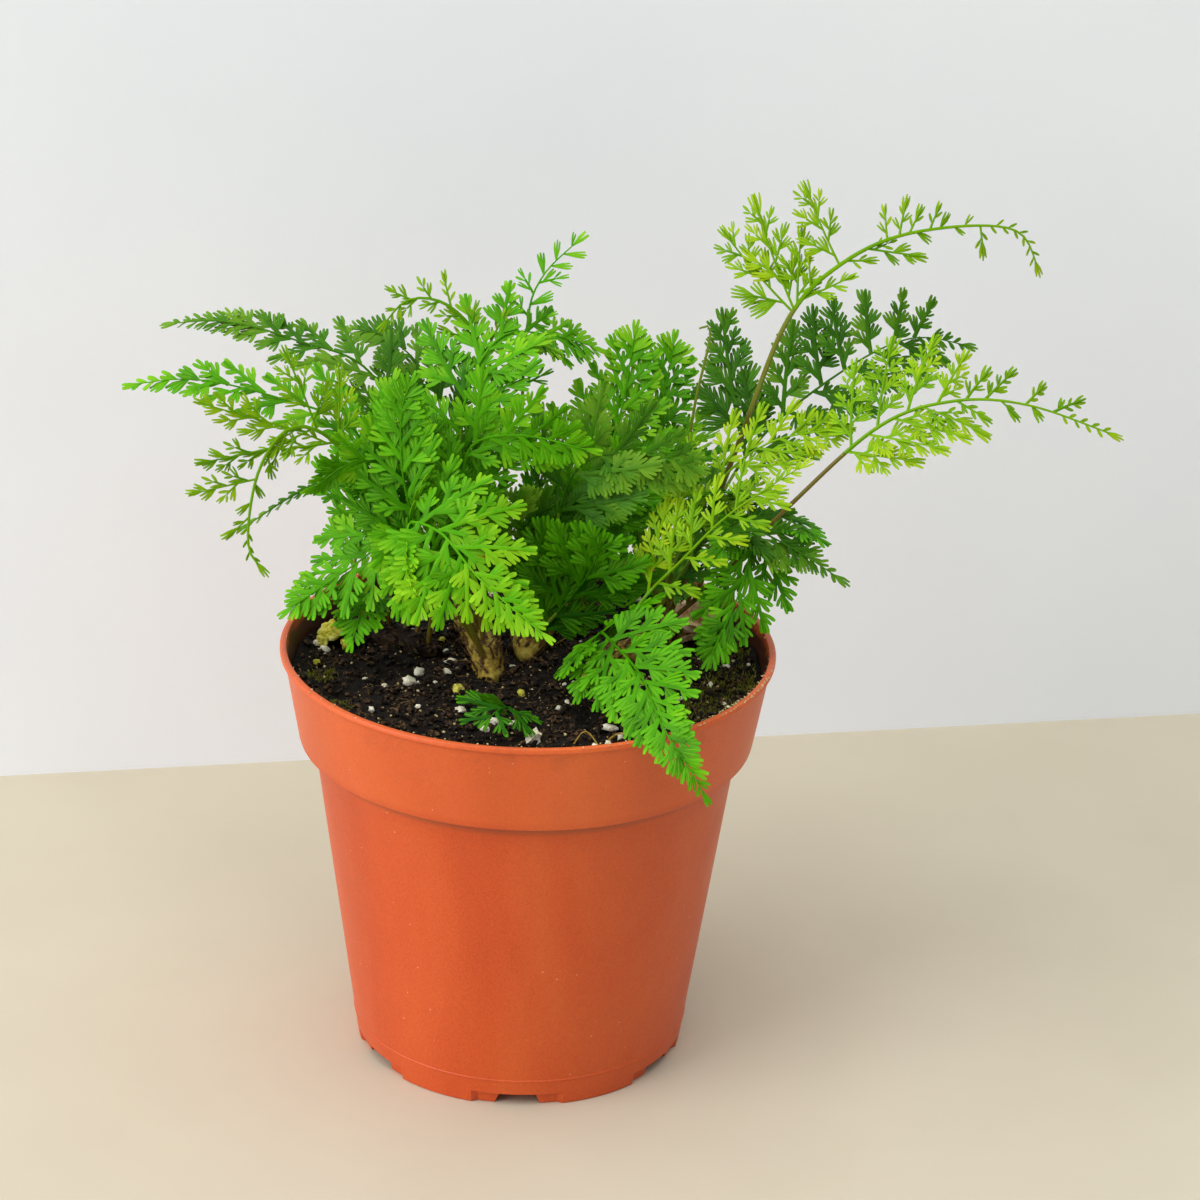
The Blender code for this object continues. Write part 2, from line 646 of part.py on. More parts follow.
def rib_stations(frond, points):
    """Stations along the rib, and how many of them belong to the bare stem."""
    fine = smooth_route(points, 1.0)
    total = length_of(fine)
    end_leaf = max(4.0, 0.34 * frond.reach)
    blade_from = frond.bare * total
    blade_to = total - end_leaf
    stem_steps = max(2, round(blade_from / STIPE_STEP))
    stops = [blade_from * i / stem_steps for i in range(stem_steps)]
    slots = 2 * frond.pairs
    for i in range(slots + 1):
        stops.append(blade_from + (blade_to - blade_from) * (1 - (1 - i / slots) ** 1.2))
    return resample(fine, stops), stem_steps, end_leaf


def touches(shape, trees):
    """True if a shape meets any of the trees."""
    verts, faces = shape
    mine = BVHTree.FromPolygons(verts, faces, all_triangles=False)
    return any(mine.overlap(tree) for tree in trees)


def rib_sheet(frond, line, stem_steps):
    """The frond's rib alone: a square bar that thins towards the tip."""
    middle = (stem_steps + len(line)) // 2
    dirs, sides = carried_sides(line, middle, Vector(frond.face))
    sheet = Sheet()
    rows = []
    for i, (p, d, s) in enumerate(zip(line, dirs, sides)):
        half = RIB_HALF + (TIP_RIB_HALF - RIB_HALF) * i / (len(line) - 1)
        up = s.cross(d)
        rows.append((sheet.add(p - s * half, up, half), sheet.add(p + s * half, up, half)))
    for (l0, r0), (l1, r1) in zip(rows, rows[1:]):
        sheet.faces.append((l0, r0, r1))
        sheet.faces.append((l0, r1, l1))
    return sheet, rows, dirs, sides


def grow(frond, beds, taken):
    """One frond's sheet, bent clear of all that stands already."""
    points = stem_route(frond.bed, frond.along, frond.route, beds)
    for dx, dy in SHIFTS:
        moved = [points[0], points[1]]
        moved += [p + Vector((dx, dy, 0)) for p in points[2:]]
        line, stem_steps, end_leaf = rib_stations(frond, moved)
        sheet, rows, dirs, sides = rib_sheet(frond, line, stem_steps)
        if not touches(sheet.solid(CLEAR * 0.6), taken):
            break
    own = []
    rib_faces = len(sheet.faces)
    slots = 2 * frond.pairs
    for slot in range(slots + 1):
        last = slot == slots
        i = stem_steps + slot
        t = slot / slots
        mirrored = slot % 2 == 1 and not last
        up = sides[i].cross(dirs[i])
        if last:
            root, start = rows[i], line[i]
            lean, length = 0.0, end_leaf
            room = 0.5 * end_leaf
        else:
            edge = 1 if mirrored else 0
            root = rows[i][edge], rows[i + 1][edge]
            start = (line[i] + line[i + 1]) / 2
            lean = math.radians(frond.angle * (1 - 0.3 * t)) * (-1 if mirrored else 1)
            length = frond.reach * min(1.0, 1.04 * (1 - t) ** frond.taper + 0.14)
            ahead = line[min(i + 2, len(line) - 1)]
            room = (ahead - line[max(i - 1, stem_steps)]).length * 2 / 3 * math.sin(abs(lean))
        lobes = max(2, round(frond.lobes * length / frond.reach)) if not last else 3
        far = [f for k, f in enumerate(sheet.faces[:rib_faces]) if abs(k // 2 - i) > 3]
        both, _ = sheet.solid()
        far_tree = [BVHTree.FromPolygons(both, far)] if far else []
        add_clear_branch(sheet, frond, root, start, dirs[i], up, lean, length, room, lobes, mirrored,
                         taken, own + far_tree)
    return sheet


def add_clear_branch(sheet, frond, root, start, ahead, up, lean, length, room, lobes, mirrored, taken, own):
    """Adds a branch, swung or shortened until it clears everything, or none where there's no room."""
    counts = len(sheet.points), len(sheet.faces)
    for share in LENGTHS:
        for swing in SWINGS:
            base = Matrix.Rotation(math.radians(swing) * (-1 if mirrored else 1), 3, ahead) @ up
            along = Matrix.Rotation(lean, 3, base) @ ahead
            turn = 0.0 if lean == 0 else math.radians(-TWIST if mirrored else TWIST)
            base = Matrix.Rotation(turn, 3, along) @ base
            reach = min(FULL * room, 0.42 * length) * (0.6 + 0.4 * share)
            shape = (lobes if share > 0.7 else max(2, lobes - 1), frond.droop, mirrored)
            add_branch(sheet, root, start, along, base, length * share + CLEAR, reach + CLEAR, *shape)
            whole = sheet.solid(CLEAR * 0.6, counts[1])
            lobes_only = sheet.solid(CLEAR * 0.6, counts[1] + 2)
            clear = not touches(whole, taken) and not touches(lobes_only, own)
            del sheet.points[counts[0]:]
            del sheet.faces[counts[1]:]
            if clear:
                add_branch(sheet, root, start, along, base, length * share, reach, *shape)
                verts, faces = sheet.solid(0.0, counts[1] + 2)
                own.append(BVHTree.FromPolygons(verts, faces))
                return


def solid_of(sheet):
    """A frond's sheet as a closed bmesh."""
    verts, faces = sheet.solid()
    bm = bmesh.new()
    corners = [bm.verts.new(p) for p in verts]
    for face in faces:
        bm.faces.new([corners[i] for i in face])
    bmesh.ops.triangulate(bm, faces=bm.faces)
    bmesh.ops.recalc_face_normals(bm, faces=bm.faces)
    return bm


def tree_of(obj):
    """A search tree of a finished object, in millimetres."""
    verts = [v.co / MM for v in obj.data.vertices]
    return BVHTree.FromPolygons(verts, [tuple(p.vertices) for p in obj.data.polygons])


def build_all():
    """Builds every object in turn: pot, rhizomes, soil, then the fronds, the foremost first."""
    for old in list(bpy.data.objects):
        bpy.data.objects.remove(old)
    plastic = material("terracotta_plastic", (0.66, 0.15, 0.05), 0.45)
    peat = material("peat_soil", (0.016, 0.011, 0.008), 0.95)
    bark = material("rhizome_bark", (0.22, 0.15, 0.06), 0.85)
    leaves = {tone: material(name, tone, 0.5) for name, tone in
              (("leaf_green", GREEN), ("leaf_dark", DARK), ("leaf_lime", LIME))}
    beds = rhizome_lines()
    solids = [make_pot(plastic), make_soil(peat, beds)]
    for name, (line, radii) in beds.items():
        solids.append(place(name, tube(line, radii, RHIZOME_SIDES), bark))
    taken = [tree_of(obj) for obj in solids]
    name, bed, along, route = BARE_STEM
    line = smooth_route(stem_route(bed, along, route, beds), STIPE_STEP)
    stem = tube(line, [RIB_HALF] * len(line), 5)
    taken.append(tree_of(place(name, stem, bark)))
    for frond in FRONDS:
        obj = place(frond.name, solid_of(grow(frond, beds, taken)), leaves[frond.tone], 30.0)
        taken.append(tree_of(obj))


if __name__ == "__main__":
    build_all()
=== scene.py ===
"""Looks of a potted rabbit's foot fern in a terracotta-coloured nursery pot.

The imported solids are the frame. Every piece here is shaped in millimetres, in that same frame, and
turned to metres as its mesh is finished: the pot stands on z = 0 with its axis on Z, and its front is
at -Y. Each frond follows the line of the solid that it replaces and carries the leaflets that the
solid only hints at.
"""

import logging
import math
import random
from dataclasses import dataclass, field
from enum import Enum
from typing import Sequence

import bmesh
import bpy
from mathutils import Matrix, Vector, noise


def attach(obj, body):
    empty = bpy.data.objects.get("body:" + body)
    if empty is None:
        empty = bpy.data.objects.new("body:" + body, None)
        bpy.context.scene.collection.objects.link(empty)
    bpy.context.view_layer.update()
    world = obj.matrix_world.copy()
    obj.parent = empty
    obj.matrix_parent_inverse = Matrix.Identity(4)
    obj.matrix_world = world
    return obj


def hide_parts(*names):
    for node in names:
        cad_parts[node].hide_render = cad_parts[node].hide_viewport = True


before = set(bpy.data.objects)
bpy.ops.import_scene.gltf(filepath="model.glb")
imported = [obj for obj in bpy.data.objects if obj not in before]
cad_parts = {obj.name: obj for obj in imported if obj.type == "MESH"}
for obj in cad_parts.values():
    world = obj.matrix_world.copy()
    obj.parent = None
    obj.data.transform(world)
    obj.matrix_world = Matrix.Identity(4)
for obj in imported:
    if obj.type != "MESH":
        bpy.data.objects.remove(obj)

LOG = logging.getLogger("fern")
MM = 0.001
ROOT = "root"
TONE = "tone"  # vertex value that says how light a leaf is, from 0 to 1
VEIN = "vein"  # UV map that runs across and along each lobe

Colour = tuple[float, float, float, float]


def hex_linear(code: str) -> Colour:
    """Turns an sRGB hex colour into linear values.

    Args:
        code: Six hex digits.

    Returns:
        Linear red, green and blue, and an alpha of one.
    """
    channels = [int(code[i:i + 2], 16) / 255 for i in (0, 2, 4)]
    linear = [c / 12.92 if c <= 0.04045 else ((c + 0.055) / 1.055) ** 2.4 for c in channels]
    return (*linear, 1.0)


def add_node(tree: bpy.types.NodeTree, kind: str, settings: dict | None = None,
             links: dict | None = None) -> bpy.types.Node:
    """Adds a node with its settings and links.

    Args:
        tree: The material's node tree.
        kind: The node's type.
        settings: Properties by name, inputs by name or number, and "stops" for a colour ramp, as
            pairs of a place and a hex colour.
        links: Output sockets, by the name or number of the input that each feeds.

    Returns:
        The new node.
    """
    node = tree.nodes.new(kind)
    for key, value in (settings or {}).items():
        if key == "stops":
            ramp = node.color_ramp.elements
            while len(ramp) < len(value):
                ramp.new(0.5)
            for element, (place, code) in zip(ramp, value):
                element.position = place
                element.color = hex_linear(code)
        elif isinstance(key, str) and hasattr(node, key):
            setattr(node, key, value)
        else:
            node.inputs[key].default_value = value
    for key, source in (links or {}).items():
        tree.links.new(source, node.inputs[key])
    return node


@dataclass(frozen=True)
class Surface:
    """A new Principled material, open for more nodes."""

    material: bpy.types.Material
    tree: bpy.types.NodeTree
    shader: bpy.types.Node
    place: bpy.types.NodeSocket

    @classmethod
    def begin(cls, name: str, roughness: float, ior: float = 1.5) -> "Surface":
        """Starts a material.

        Args:
            name: The real material and how it was made.
            roughness: Of the plain surface.
            ior: Index of refraction.

        Returns:
            The open surface, with Object coordinates at hand.
        """
        material = bpy.data.materials.new(name)
        material.use_nodes = True
        tree = material.node_tree
        shader = tree.nodes["Principled BSDF"]
        shader.inputs["Roughness"].default_value = roughness
        shader.inputs["IOR"].default_value = ior
        place = add_node(tree, "ShaderNodeTexCoord").outputs["Object"]
        return cls(material, tree, shader, place)

    def feed(self, socket: str, source: bpy.types.NodeSocket) -> None:
        """Links a source to one of the shader's sockets."""
        self.tree.links.new(source, self.shader.inputs[socket])

    def bump(self, height: bpy.types.NodeSocket, depth_mm: float, strength: float = 1.0) -> None:
        """Raises the surface by a height pattern of the given real depth."""
        node = add_node(self.tree, "ShaderNodeBump", {"Strength": strength, "Distance": depth_mm * MM},
                        {"Height": height})
        self.feed("Normal", node.outputs["Normal"])

    def noise(self, grain_mm: float, detail: float = 3.0, rough: float = 0.5) -> bpy.types.NodeSocket:
        """A cloud pattern whose patches are about grain_mm across."""
        node = add_node(self.tree, "ShaderNodeTexNoise",
                        {"Scale": 1000.0 / grain_mm, "Detail": detail, "Roughness": rough},
                        {"Vector": self.place})
        return node.outputs["Fac"]


@dataclass(frozen=True)
class LeafTissue:
    """Living leaf: thin, satin on top, and bright where light comes through it."""

    name: str
    deep: str
    main: str
    light: str
    vein: str
    through: float = 0.22  # share of light that passes
    roughness: float = 0.48
    patch_mm: float = 7.0
    painted_tip_light: float = 0.2  # how much lighter a segment's tips are than its foot: painted highlight at the tips, painted shade at the foot

    def material(self) -> bpy.types.Material:
        """Builds the material; lobes have a paler vein that lies in a shallow groove."""
        surface = Surface.begin(self.name, self.roughness, 1.42)
        surface.shader.inputs["Specular IOR Level"].default_value = 0.18
        tree = surface.tree
        tone = add_node(tree, "ShaderNodeAttribute", {"attribute_name": TONE})
        patches = add_node(tree, "ShaderNodeMath", {"operation": "MULTIPLY_ADD", 1: 0.5, 2: -0.25},
                           {0: surface.noise(self.patch_mm)})
        across = add_node(tree, "ShaderNodeSeparateXYZ", None,
                          {0: add_node(tree, "ShaderNodeUVMap", {"uv_map": VEIN}).outputs["UV"]})
        # Painted light: each segment darkens towards its foot and lightens towards its tips, as painted shade and
        # painted highlight.
        tips = add_node(tree, "ShaderNodeMath", {"operation": "MULTIPLY_ADD", 1: self.painted_tip_light, 2: -0.08},
                        {0: across.outputs["Y"]})
        mottled = add_node(tree, "ShaderNodeMath", {"operation": "ADD"},
                           {0: tips.outputs[0], 1: patches.outputs[0]})
        level = add_node(tree, "ShaderNodeMath", {"operation": "ADD", "use_clamp": True},
                         {0: tone.outputs["Fac"], 1: mottled.outputs[0]})
        body = add_node(tree, "ShaderNodeValToRGB",
                        {"stops": ((0.0, self.deep), (0.5, self.main), (1.0, self.light))},
                        {"Fac": level.outputs[0]})
        offset = add_node(tree, "ShaderNodeMath", {"operation": "SUBTRACT", 1: 0.5},
                          {0: across.outputs["X"]})
        distance = add_node(tree, "ShaderNodeMath", {"operation": "ABSOLUTE"}, {0: offset.outputs[0]})
        vein = add_node(tree, "ShaderNodeMapRange",
                        {"From Min": 0.02, "From Max": 0.17, "To Min": 0.42, "To Max": 0.0},
                        {"Value": distance.outputs[0]})
        colour = add_node(tree, "ShaderNodeMix", {"data_type": "RGBA", 7: hex_linear(self.vein)},
                          {0: vein.outputs["Result"], 6: body.outputs["Color"]})
        surface.feed("Base Color", colour.outputs[2])
        groove = add_node(tree, "ShaderNodeMath", {"operation": "SUBTRACT"},
                          {0: surface.noise(0.9), 1: vein.outputs["Result"]})
        surface.bump(groove.outputs[0], 0.12, 0.5)
        thin = add_node(tree, "ShaderNodeBsdfTranslucent", None, {"Color": colour.outputs[2]})
        mixed = add_node(tree, "ShaderNodeMixShader", {0: self.through},
                         {1: surface.shader.outputs[0], 2: thin.outputs[0]})
        tree.links.new(mixed.outputs[0], tree.nodes["Material Output"].inputs["Surface"])
        return surface.material


@dataclass(frozen=True)
class StipeSkin:
    """Smooth leaf stalk: brown and woody near the soil, green and softly shining higher up."""

    name: str
    low: str
    middle: str
    high: str

    def material(self) -> bpy.types.Material:
        """Builds the material, whose colour follows how far up the stalk a point is."""
        surface = Surface.begin(self.name, 0.42)
        surface.shader.inputs["Specular IOR Level"].default_value = 0.28
        tree = surface.tree
        tone = add_node(tree, "ShaderNodeAttribute", {"attribute_name": TONE})
        wander = add_node(tree, "ShaderNodeMath", {"operation": "MULTIPLY_ADD", 1: 0.3, 2: -0.15},
                          {0: surface.noise(5.0)})
        level = add_node(tree, "ShaderNodeMath", {"operation": "ADD", "use_clamp": True},
                         {0: tone.outputs["Fac"], 1: wander.outputs[0]})
        body = add_node(tree, "ShaderNodeValToRGB",
                        {"stops": ((0.0, self.low), (0.4, self.middle), (1.0, self.high))},
                        {"Fac": level.outputs[0]})
        surface.feed("Base Color", body.outputs["Color"])
        surface.bump(surface.noise(0.7), 0.06, 0.5)
        return surface.material


@dataclass(frozen=True)
class MouldedPolypropylene:
    """Nursery pot plastic: injection moulded, satin, with pale flecks of regrind and faint flow marks."""

    name: str = "injection_moulded_polypropylene"
    shade: str = "B84211"
    body: str = "CE501C"
    warm: str = "DA662B"
    fleck: str = "F2B898"
    # Colour of real dirt smears near the rim, and of the painted shade under the band.
    smear_and_ledge_shade: str = "8A4526"
    painted_band_light: str = "FF8442"  # painted light: a paler colour on the band and above it, which is lit more than the body
    stained: str = "2C160C"  # splashed peat on the inside of the wall
    fleck_spacing_mm: float = 3.4
    grain_mm: float = 0.42
    flow_mm: float = 38.0
    rim_z_mm: float = 92.3
    band_slope: float = 0.169  # the band's inner wall: its radius grows with height from a start
    band_start_mm: float = 36.8
    band_z_mm: float = 75.0
    ledge_z_mm: float = 72.4  # painted shade: the body darkens just under the band, where the band's shadow falls
    roughness: float = 0.40

    def material(self) -> bpy.types.Material:
        """Builds the material."""
        surface = Surface.begin(self.name, self.roughness, 1.49)
        surface.shader.inputs["Specular IOR Level"].default_value = 0.42
        tree = surface.tree
        stretched = add_node(tree, "ShaderNodeMapping", {"Scale": (1.0, 1.0, 0.35)},
                             {"Vector": surface.place})
        flow = add_node(tree, "ShaderNodeTexNoise",
                        {"Scale": 1000.0 / self.flow_mm, "Detail": 4.0, "Distortion": 0.6},
                        {"Vector": stretched.outputs["Vector"]})
        grain = surface.noise(self.grain_mm, 2.0)
        grains = add_node(tree, "ShaderNodeMath", {"operation": "MULTIPLY_ADD", 1: 0.6, 2: -0.3}, {0: grain})
        mottled = add_node(tree, "ShaderNodeMath", {"operation": "ADD"},
                           {0: flow.outputs["Fac"], 1: grains.outputs[0]})
        body = add_node(tree, "ShaderNodeValToRGB",
                        {"stops": ((0.2, self.shade), (0.5, self.body), (0.85, self.warm))},
                        {"Fac": mottled.outputs[0]})
        cells = add_node(tree, "ShaderNodeTexVoronoi", {"Scale": 1000.0 / self.fleck_spacing_mm},
                         {"Vector": surface.place})
        fleck = add_node(tree, "ShaderNodeMapRange",
                         {"From Min": 0.035, "From Max": 0.07, "To Min": 0.6, "To Max": 0.0},
                         {"Value": cells.outputs["Distance"]})
        chosen = add_node(tree, "ShaderNodeMath", {"operation": "GREATER_THAN", 1: 0.55},
                          {0: surface.noise(21.0)})
        shown = add_node(tree, "ShaderNodeMath", {"operation": "MULTIPLY"},
                         {0: fleck.outputs["Result"], 1: chosen.outputs[0]})
        flecked = add_node(tree, "ShaderNodeMix", {"data_type": "RGBA", 7: hex_linear(self.fleck)},
                           {0: shown.outputs[0], 6: body.outputs["Color"]})
        parts = add_node(tree, "ShaderNodeSeparateXYZ", None, {0: surface.place})
        # Painted light: from just above the ledge up, the colour is mixed a fifth of the way towards a paler
        # orange, so the band reads as more brightly lit.
        band_light_mask = add_node(tree, "ShaderNodeMapRange",
                        {"From Min": (self.ledge_z_mm + 0.8) * MM, "From Max": (self.ledge_z_mm + 3.4) * MM,
                         "To Max": 0.2}, {"Value": parts.outputs["Z"]})
        band_lit = add_node(tree, "ShaderNodeMix", {"data_type": "RGBA", 7: hex_linear(self.painted_band_light)},
                           {0: band_light_mask.outputs["Result"], 6: flecked.outputs[2]})
        near_rim = add_node(tree, "ShaderNodeMapRange",
                            {"From Min": (self.rim_z_mm - 6.0) * MM, "From Max": self.rim_z_mm * MM,
                             "To Min": 0.06, "To Max": 0.34},
                            {"Value": parts.outputs["Z"]})
        smear = add_node(tree, "ShaderNodeMapRange", {"From Min": 0.5, "From Max": 0.72},
                         {"Value": surface.noise(4.5, 6.0, 0.65)})
        smears = add_node(tree, "ShaderNodeMath", {"operation": "MULTIPLY"},
                          {0: near_rim.outputs["Result"], 1: smear.outputs["Result"]})
        # Painted shade under the band: the body darkens towards the ledge, up to three quarters of the way, as if
        # the band's shadow fell there.
        under_band_shade = add_node(tree, "ShaderNodeMapRange",
                          {"From Min": (self.ledge_z_mm - 1.9) * MM, "From Max": self.ledge_z_mm * MM,
                           "To Max": 0.75}, {"Value": parts.outputs["Z"]})
        below = add_node(tree, "ShaderNodeMath", {"operation": "LESS_THAN", 1: (self.ledge_z_mm + 0.6) * MM},
                         {0: parts.outputs["Z"]})
        smear_and_shade_mask = add_node(tree, "ShaderNodeMath", {"operation": "MULTIPLY_ADD"},
                        {0: under_band_shade.outputs["Result"], 1: below.outputs[0], 2: smears.outputs[0]})
        colour = add_node(tree, "ShaderNodeMix", {"data_type": "RGBA", 7: hex_linear(self.smear_and_ledge_shade)},
                          {0: smear_and_shade_mask.outputs[0], 6: band_lit.outputs[2]})
        flat = add_node(tree, "ShaderNodeCombineXYZ", None, {0: parts.outputs["X"], 1: parts.outputs["Y"]})
        radius = add_node(tree, "ShaderNodeVectorMath", {"operation": "LENGTH"}, {0: flat.outputs[0]})
        wall = add_node(tree, "ShaderNodeMath",
                        {"operation": "MULTIPLY_ADD", 1: self.band_slope, 2: self.band_start_mm * MM},
                        {0: parts.outputs["Z"]})
        inside = add_node(tree, "ShaderNodeMath", {"operation": "GREATER_THAN"},
                          {0: wall.outputs[0], 1: radius.outputs["Value"]})
        splash = add_node(tree, "ShaderNodeMath",
                          {"operation": "MULTIPLY_ADD", 1: 0.006, 2: -0.003},
                          {0: surface.noise(5.0, 5.0, 0.6)})
        ragged = add_node(tree, "ShaderNodeMath", {"operation": "ADD"},
                          {0: parts.outputs["Z"], 1: splash.outputs[0]})
        depth = add_node(tree, "ShaderNodeMapRange",
                         {"From Min": (self.rim_z_mm + 1.6) * MM, "From Max": (self.rim_z_mm - 0.2) * MM,
                          "To Max": 0.94}, {"Value": ragged.outputs[0]})
        above = add_node(tree, "ShaderNodeMath", {"operation": "GREATER_THAN", 1: self.band_z_mm * MM},
                         {0: parts.outputs["Z"]})
        within = add_node(tree, "ShaderNodeMath", {"operation": "MULTIPLY"},
                          {0: inside.outputs[0], 1: above.outputs[0]})
        stain = add_node(tree, "ShaderNodeMath", {"operation": "MULTIPLY"},
                         {0: within.outputs[0], 1: depth.outputs["Result"]})
        stained = add_node(tree, "ShaderNodeMix", {"data_type": "RGBA", 7: hex_linear(self.stained)},
                           {0: stain.outputs[0], 6: colour.outputs[2]})
        surface.feed("Base Color", stained.outputs[2])
        gloss = add_node(tree, "ShaderNodeMapRange", {"To Min": 0.34, "To Max": 0.52},
                         {"Value": surface.noise(11.0, 5.0)})
        surface.feed("Roughness", gloss.outputs["Result"])
        surface.bump(grain, 0.03, 0.7)
        return surface.material


@dataclass(frozen=True)
class GroundMatter:
    """Loose matter in the pot: a mottled colour, a grain size and some damp gloss."""

    name: str
    dark: str
    main: str
    light: str
    grain_mm: float
    depth_mm: float
    roughness: float = 0.85
    dark_share: float = 0.35
    light_share: float = 0.72

    def material(self) -> bpy.types.Material:
        """Builds the material from two grains of mottling and a bump of the same grain."""
        surface = Surface.begin(self.name, self.roughness)
        surface.shader.inputs["Specular IOR Level"].default_value = 0.2
        tree = surface.tree
        coarse = surface.noise(self.grain_mm * 4.0, 5.0, 0.6)
        fine = surface.noise(self.grain_mm, 4.0, 0.6)
        level = add_node(tree, "ShaderNodeMath", {"operation": "MULTIPLY_ADD", 1: 0.5},
                         {0: coarse, 2: add_node(tree, "ShaderNodeMath",
                                                 {"operation": "MULTIPLY", 1: 0.5},
                                                 {0: fine}).outputs[0]})
        body = add_node(tree, "ShaderNodeValToRGB",
                        {"stops": ((self.dark_share, self.dark), (0.5, self.main),
                                   (self.light_share, self.light))},
                        {"Fac": level.outputs[0]})
        surface.feed("Base Color", body.outputs["Color"])
        gloss = add_node(tree, "ShaderNodeMapRange",
                         {"To Min": self.roughness - 0.25, "To Max": min(1.0, self.roughness + 0.15)},
                         {"Value": coarse})
        surface.feed("Roughness", gloss.outputs["Result"])
        surface.bump(fine, self.depth_mm)
        return surface.material


@dataclass(frozen=True)
class StudioPaint:
    """Matt paint or card of the studio, very faintly mottled."""

    name: str
    colour: str
    shade: str
    roughness: float = 0.75

    def material(self) -> bpy.types.Material:
        """Builds the material."""
        surface = Surface.begin(self.name, self.roughness)
        body = add_node(surface.tree, "ShaderNodeValToRGB",
                        {"stops": ((0.3, self.shade), (0.7, self.colour))}, {"Fac": surface.noise(60.0)})
        surface.feed("Base Color", body.outputs["Color"])
        return surface.material


class LeafKind(Enum):
    """The three ages of leaf on this plant."""

    GREEN = "leaf_green"
    DARK = "leaf_dark"
    LIME = "leaf_lime"


@dataclass(frozen=True)
class SegmentCut:
    """A leaf's last segments: narrow wedges whose outer end is cut into blunt teeth.

    Lengths are in millimetres, and shares are of the segment's length or width.
    """

    first_length: float = 2.4  # of a segment of one tooth
    tooth_adds: float = 1.3  # length that each further tooth brings
    slim_share: float = 0.30  # width against length, with no tooth
    tooth_widens: float = 0.09
    neck: float = 0.18
    fuse_at: float = 0.70
    fill: float = 0.87  # width of a tooth, as a share of its room
    point: float = 0.55  # width of a tooth's end
    fan_deg: float = 14.0
    thickness: float = 0.11
    fold: float = 0.14  # how far the flanks hang, for each millimetre out
    arch: float = 0.022  # how far it bends down along its length, for each square millimetre


@dataclass(frozen=True)
class Habit:
    """How the fronds of one kind of leaf are built. Sizes are in millimetres."""

    cut: SegmentCut
    crowding: float  # space between side branches on both sides, as a share of their length
    spacing: float  # the same between the leaflets of a branch
    leaflet_share: float  # longest leaflet, as a share of its branch
    least_leaflet: float
    leaflet_deg: float  # between branch and leaflet, at the branch's foot
    stalk_share: float  # bare share of a branch
    bow: float  # how far a branch curves towards the frond's tip
    tone: float
    divided_above: float = 5.9  # a leaflet that is longer than this has segments of its own
    wing: float = 3.2  # how much wider than thick a branch's own rib is


HABITS = {
    LeafKind.GREEN: Habit(SegmentCut(), 0.24, 0.27, 0.47, 2.6, 40.0, 0.07, 0.10, 0.42),
    LeafKind.DARK: Habit(
        SegmentCut(2.0, 1.0, 0.32, 0.09, 0.16, 0.64, 0.84), 0.25, 0.28, 0.43, 2.3, 38.0, 0.08, 0.12,
        0.42, 5.2),
    LeafKind.LIME: Habit(
        SegmentCut(2.1, 1.15, 0.26, 0.075, 0.15, 0.62, 0.80, 0.46, 13.0, 0.11, 0.2, 0.035),
        0.27, 0.30, 0.40, 2.3, 36.0, 0.12, 0.08, 0.40, 4.6, 2.0),
}


@dataclass(frozen=True)
class Stop:
    """A place on a line, with the three directions that go with it."""

    point: Vector
    ahead: Vector
    side: Vector
    upper: Vector

    def ring_matrix(self, radius: float, wing: float = 1.0) -> Matrix:
        """Places a flat unit circle square to the line, drawn out sideways where it has wings."""
        turn = Matrix((self.upper, self.side, self.ahead)).transposed().to_4x4()
        return Matrix.Translation(self.point) @ turn @ Matrix.Diagonal((radius, radius * wing, radius, 1.0))

    def leaned(self, degrees: float, tilt: float = 0.0, out: float = 0.0) -> "Stop":
        """The stop turned in the leaf's plane, then tilted about its new line.

        Args:
            degrees: Turn towards the side, negative for the other side.
            tilt: Degrees about the new line.
            out: Distance to move along the new line.

        Returns:
            The turned stop.
        """
        swing = Matrix.Rotation(math.radians(-degrees), 3, self.upper)
        ahead = swing @ self.ahead
        upper = Matrix.Rotation(math.radians(tilt), 3, ahead) @ self.upper
        return Stop(self.point + ahead * out, ahead, ahead.cross(upper), upper)

    def leaf_matrix(self, scale: float, slender: float = 1.0) -> Matrix:
        """Places a leaflet that was cut along +Y with its upper face at +Z.

        Args:
            scale: The leaflet's length against the cut one.
            slender: How much narrower it is made.

        Returns:
            The matrix for the cut leaflet.
        """
        turn = Matrix((self.ahead.cross(self.upper), self.ahead, self.upper)).transposed().to_4x4()
        return Matrix.Translation(self.point) @ turn @ Matrix.Diagonal((scale / slender, scale, scale, 1.0))


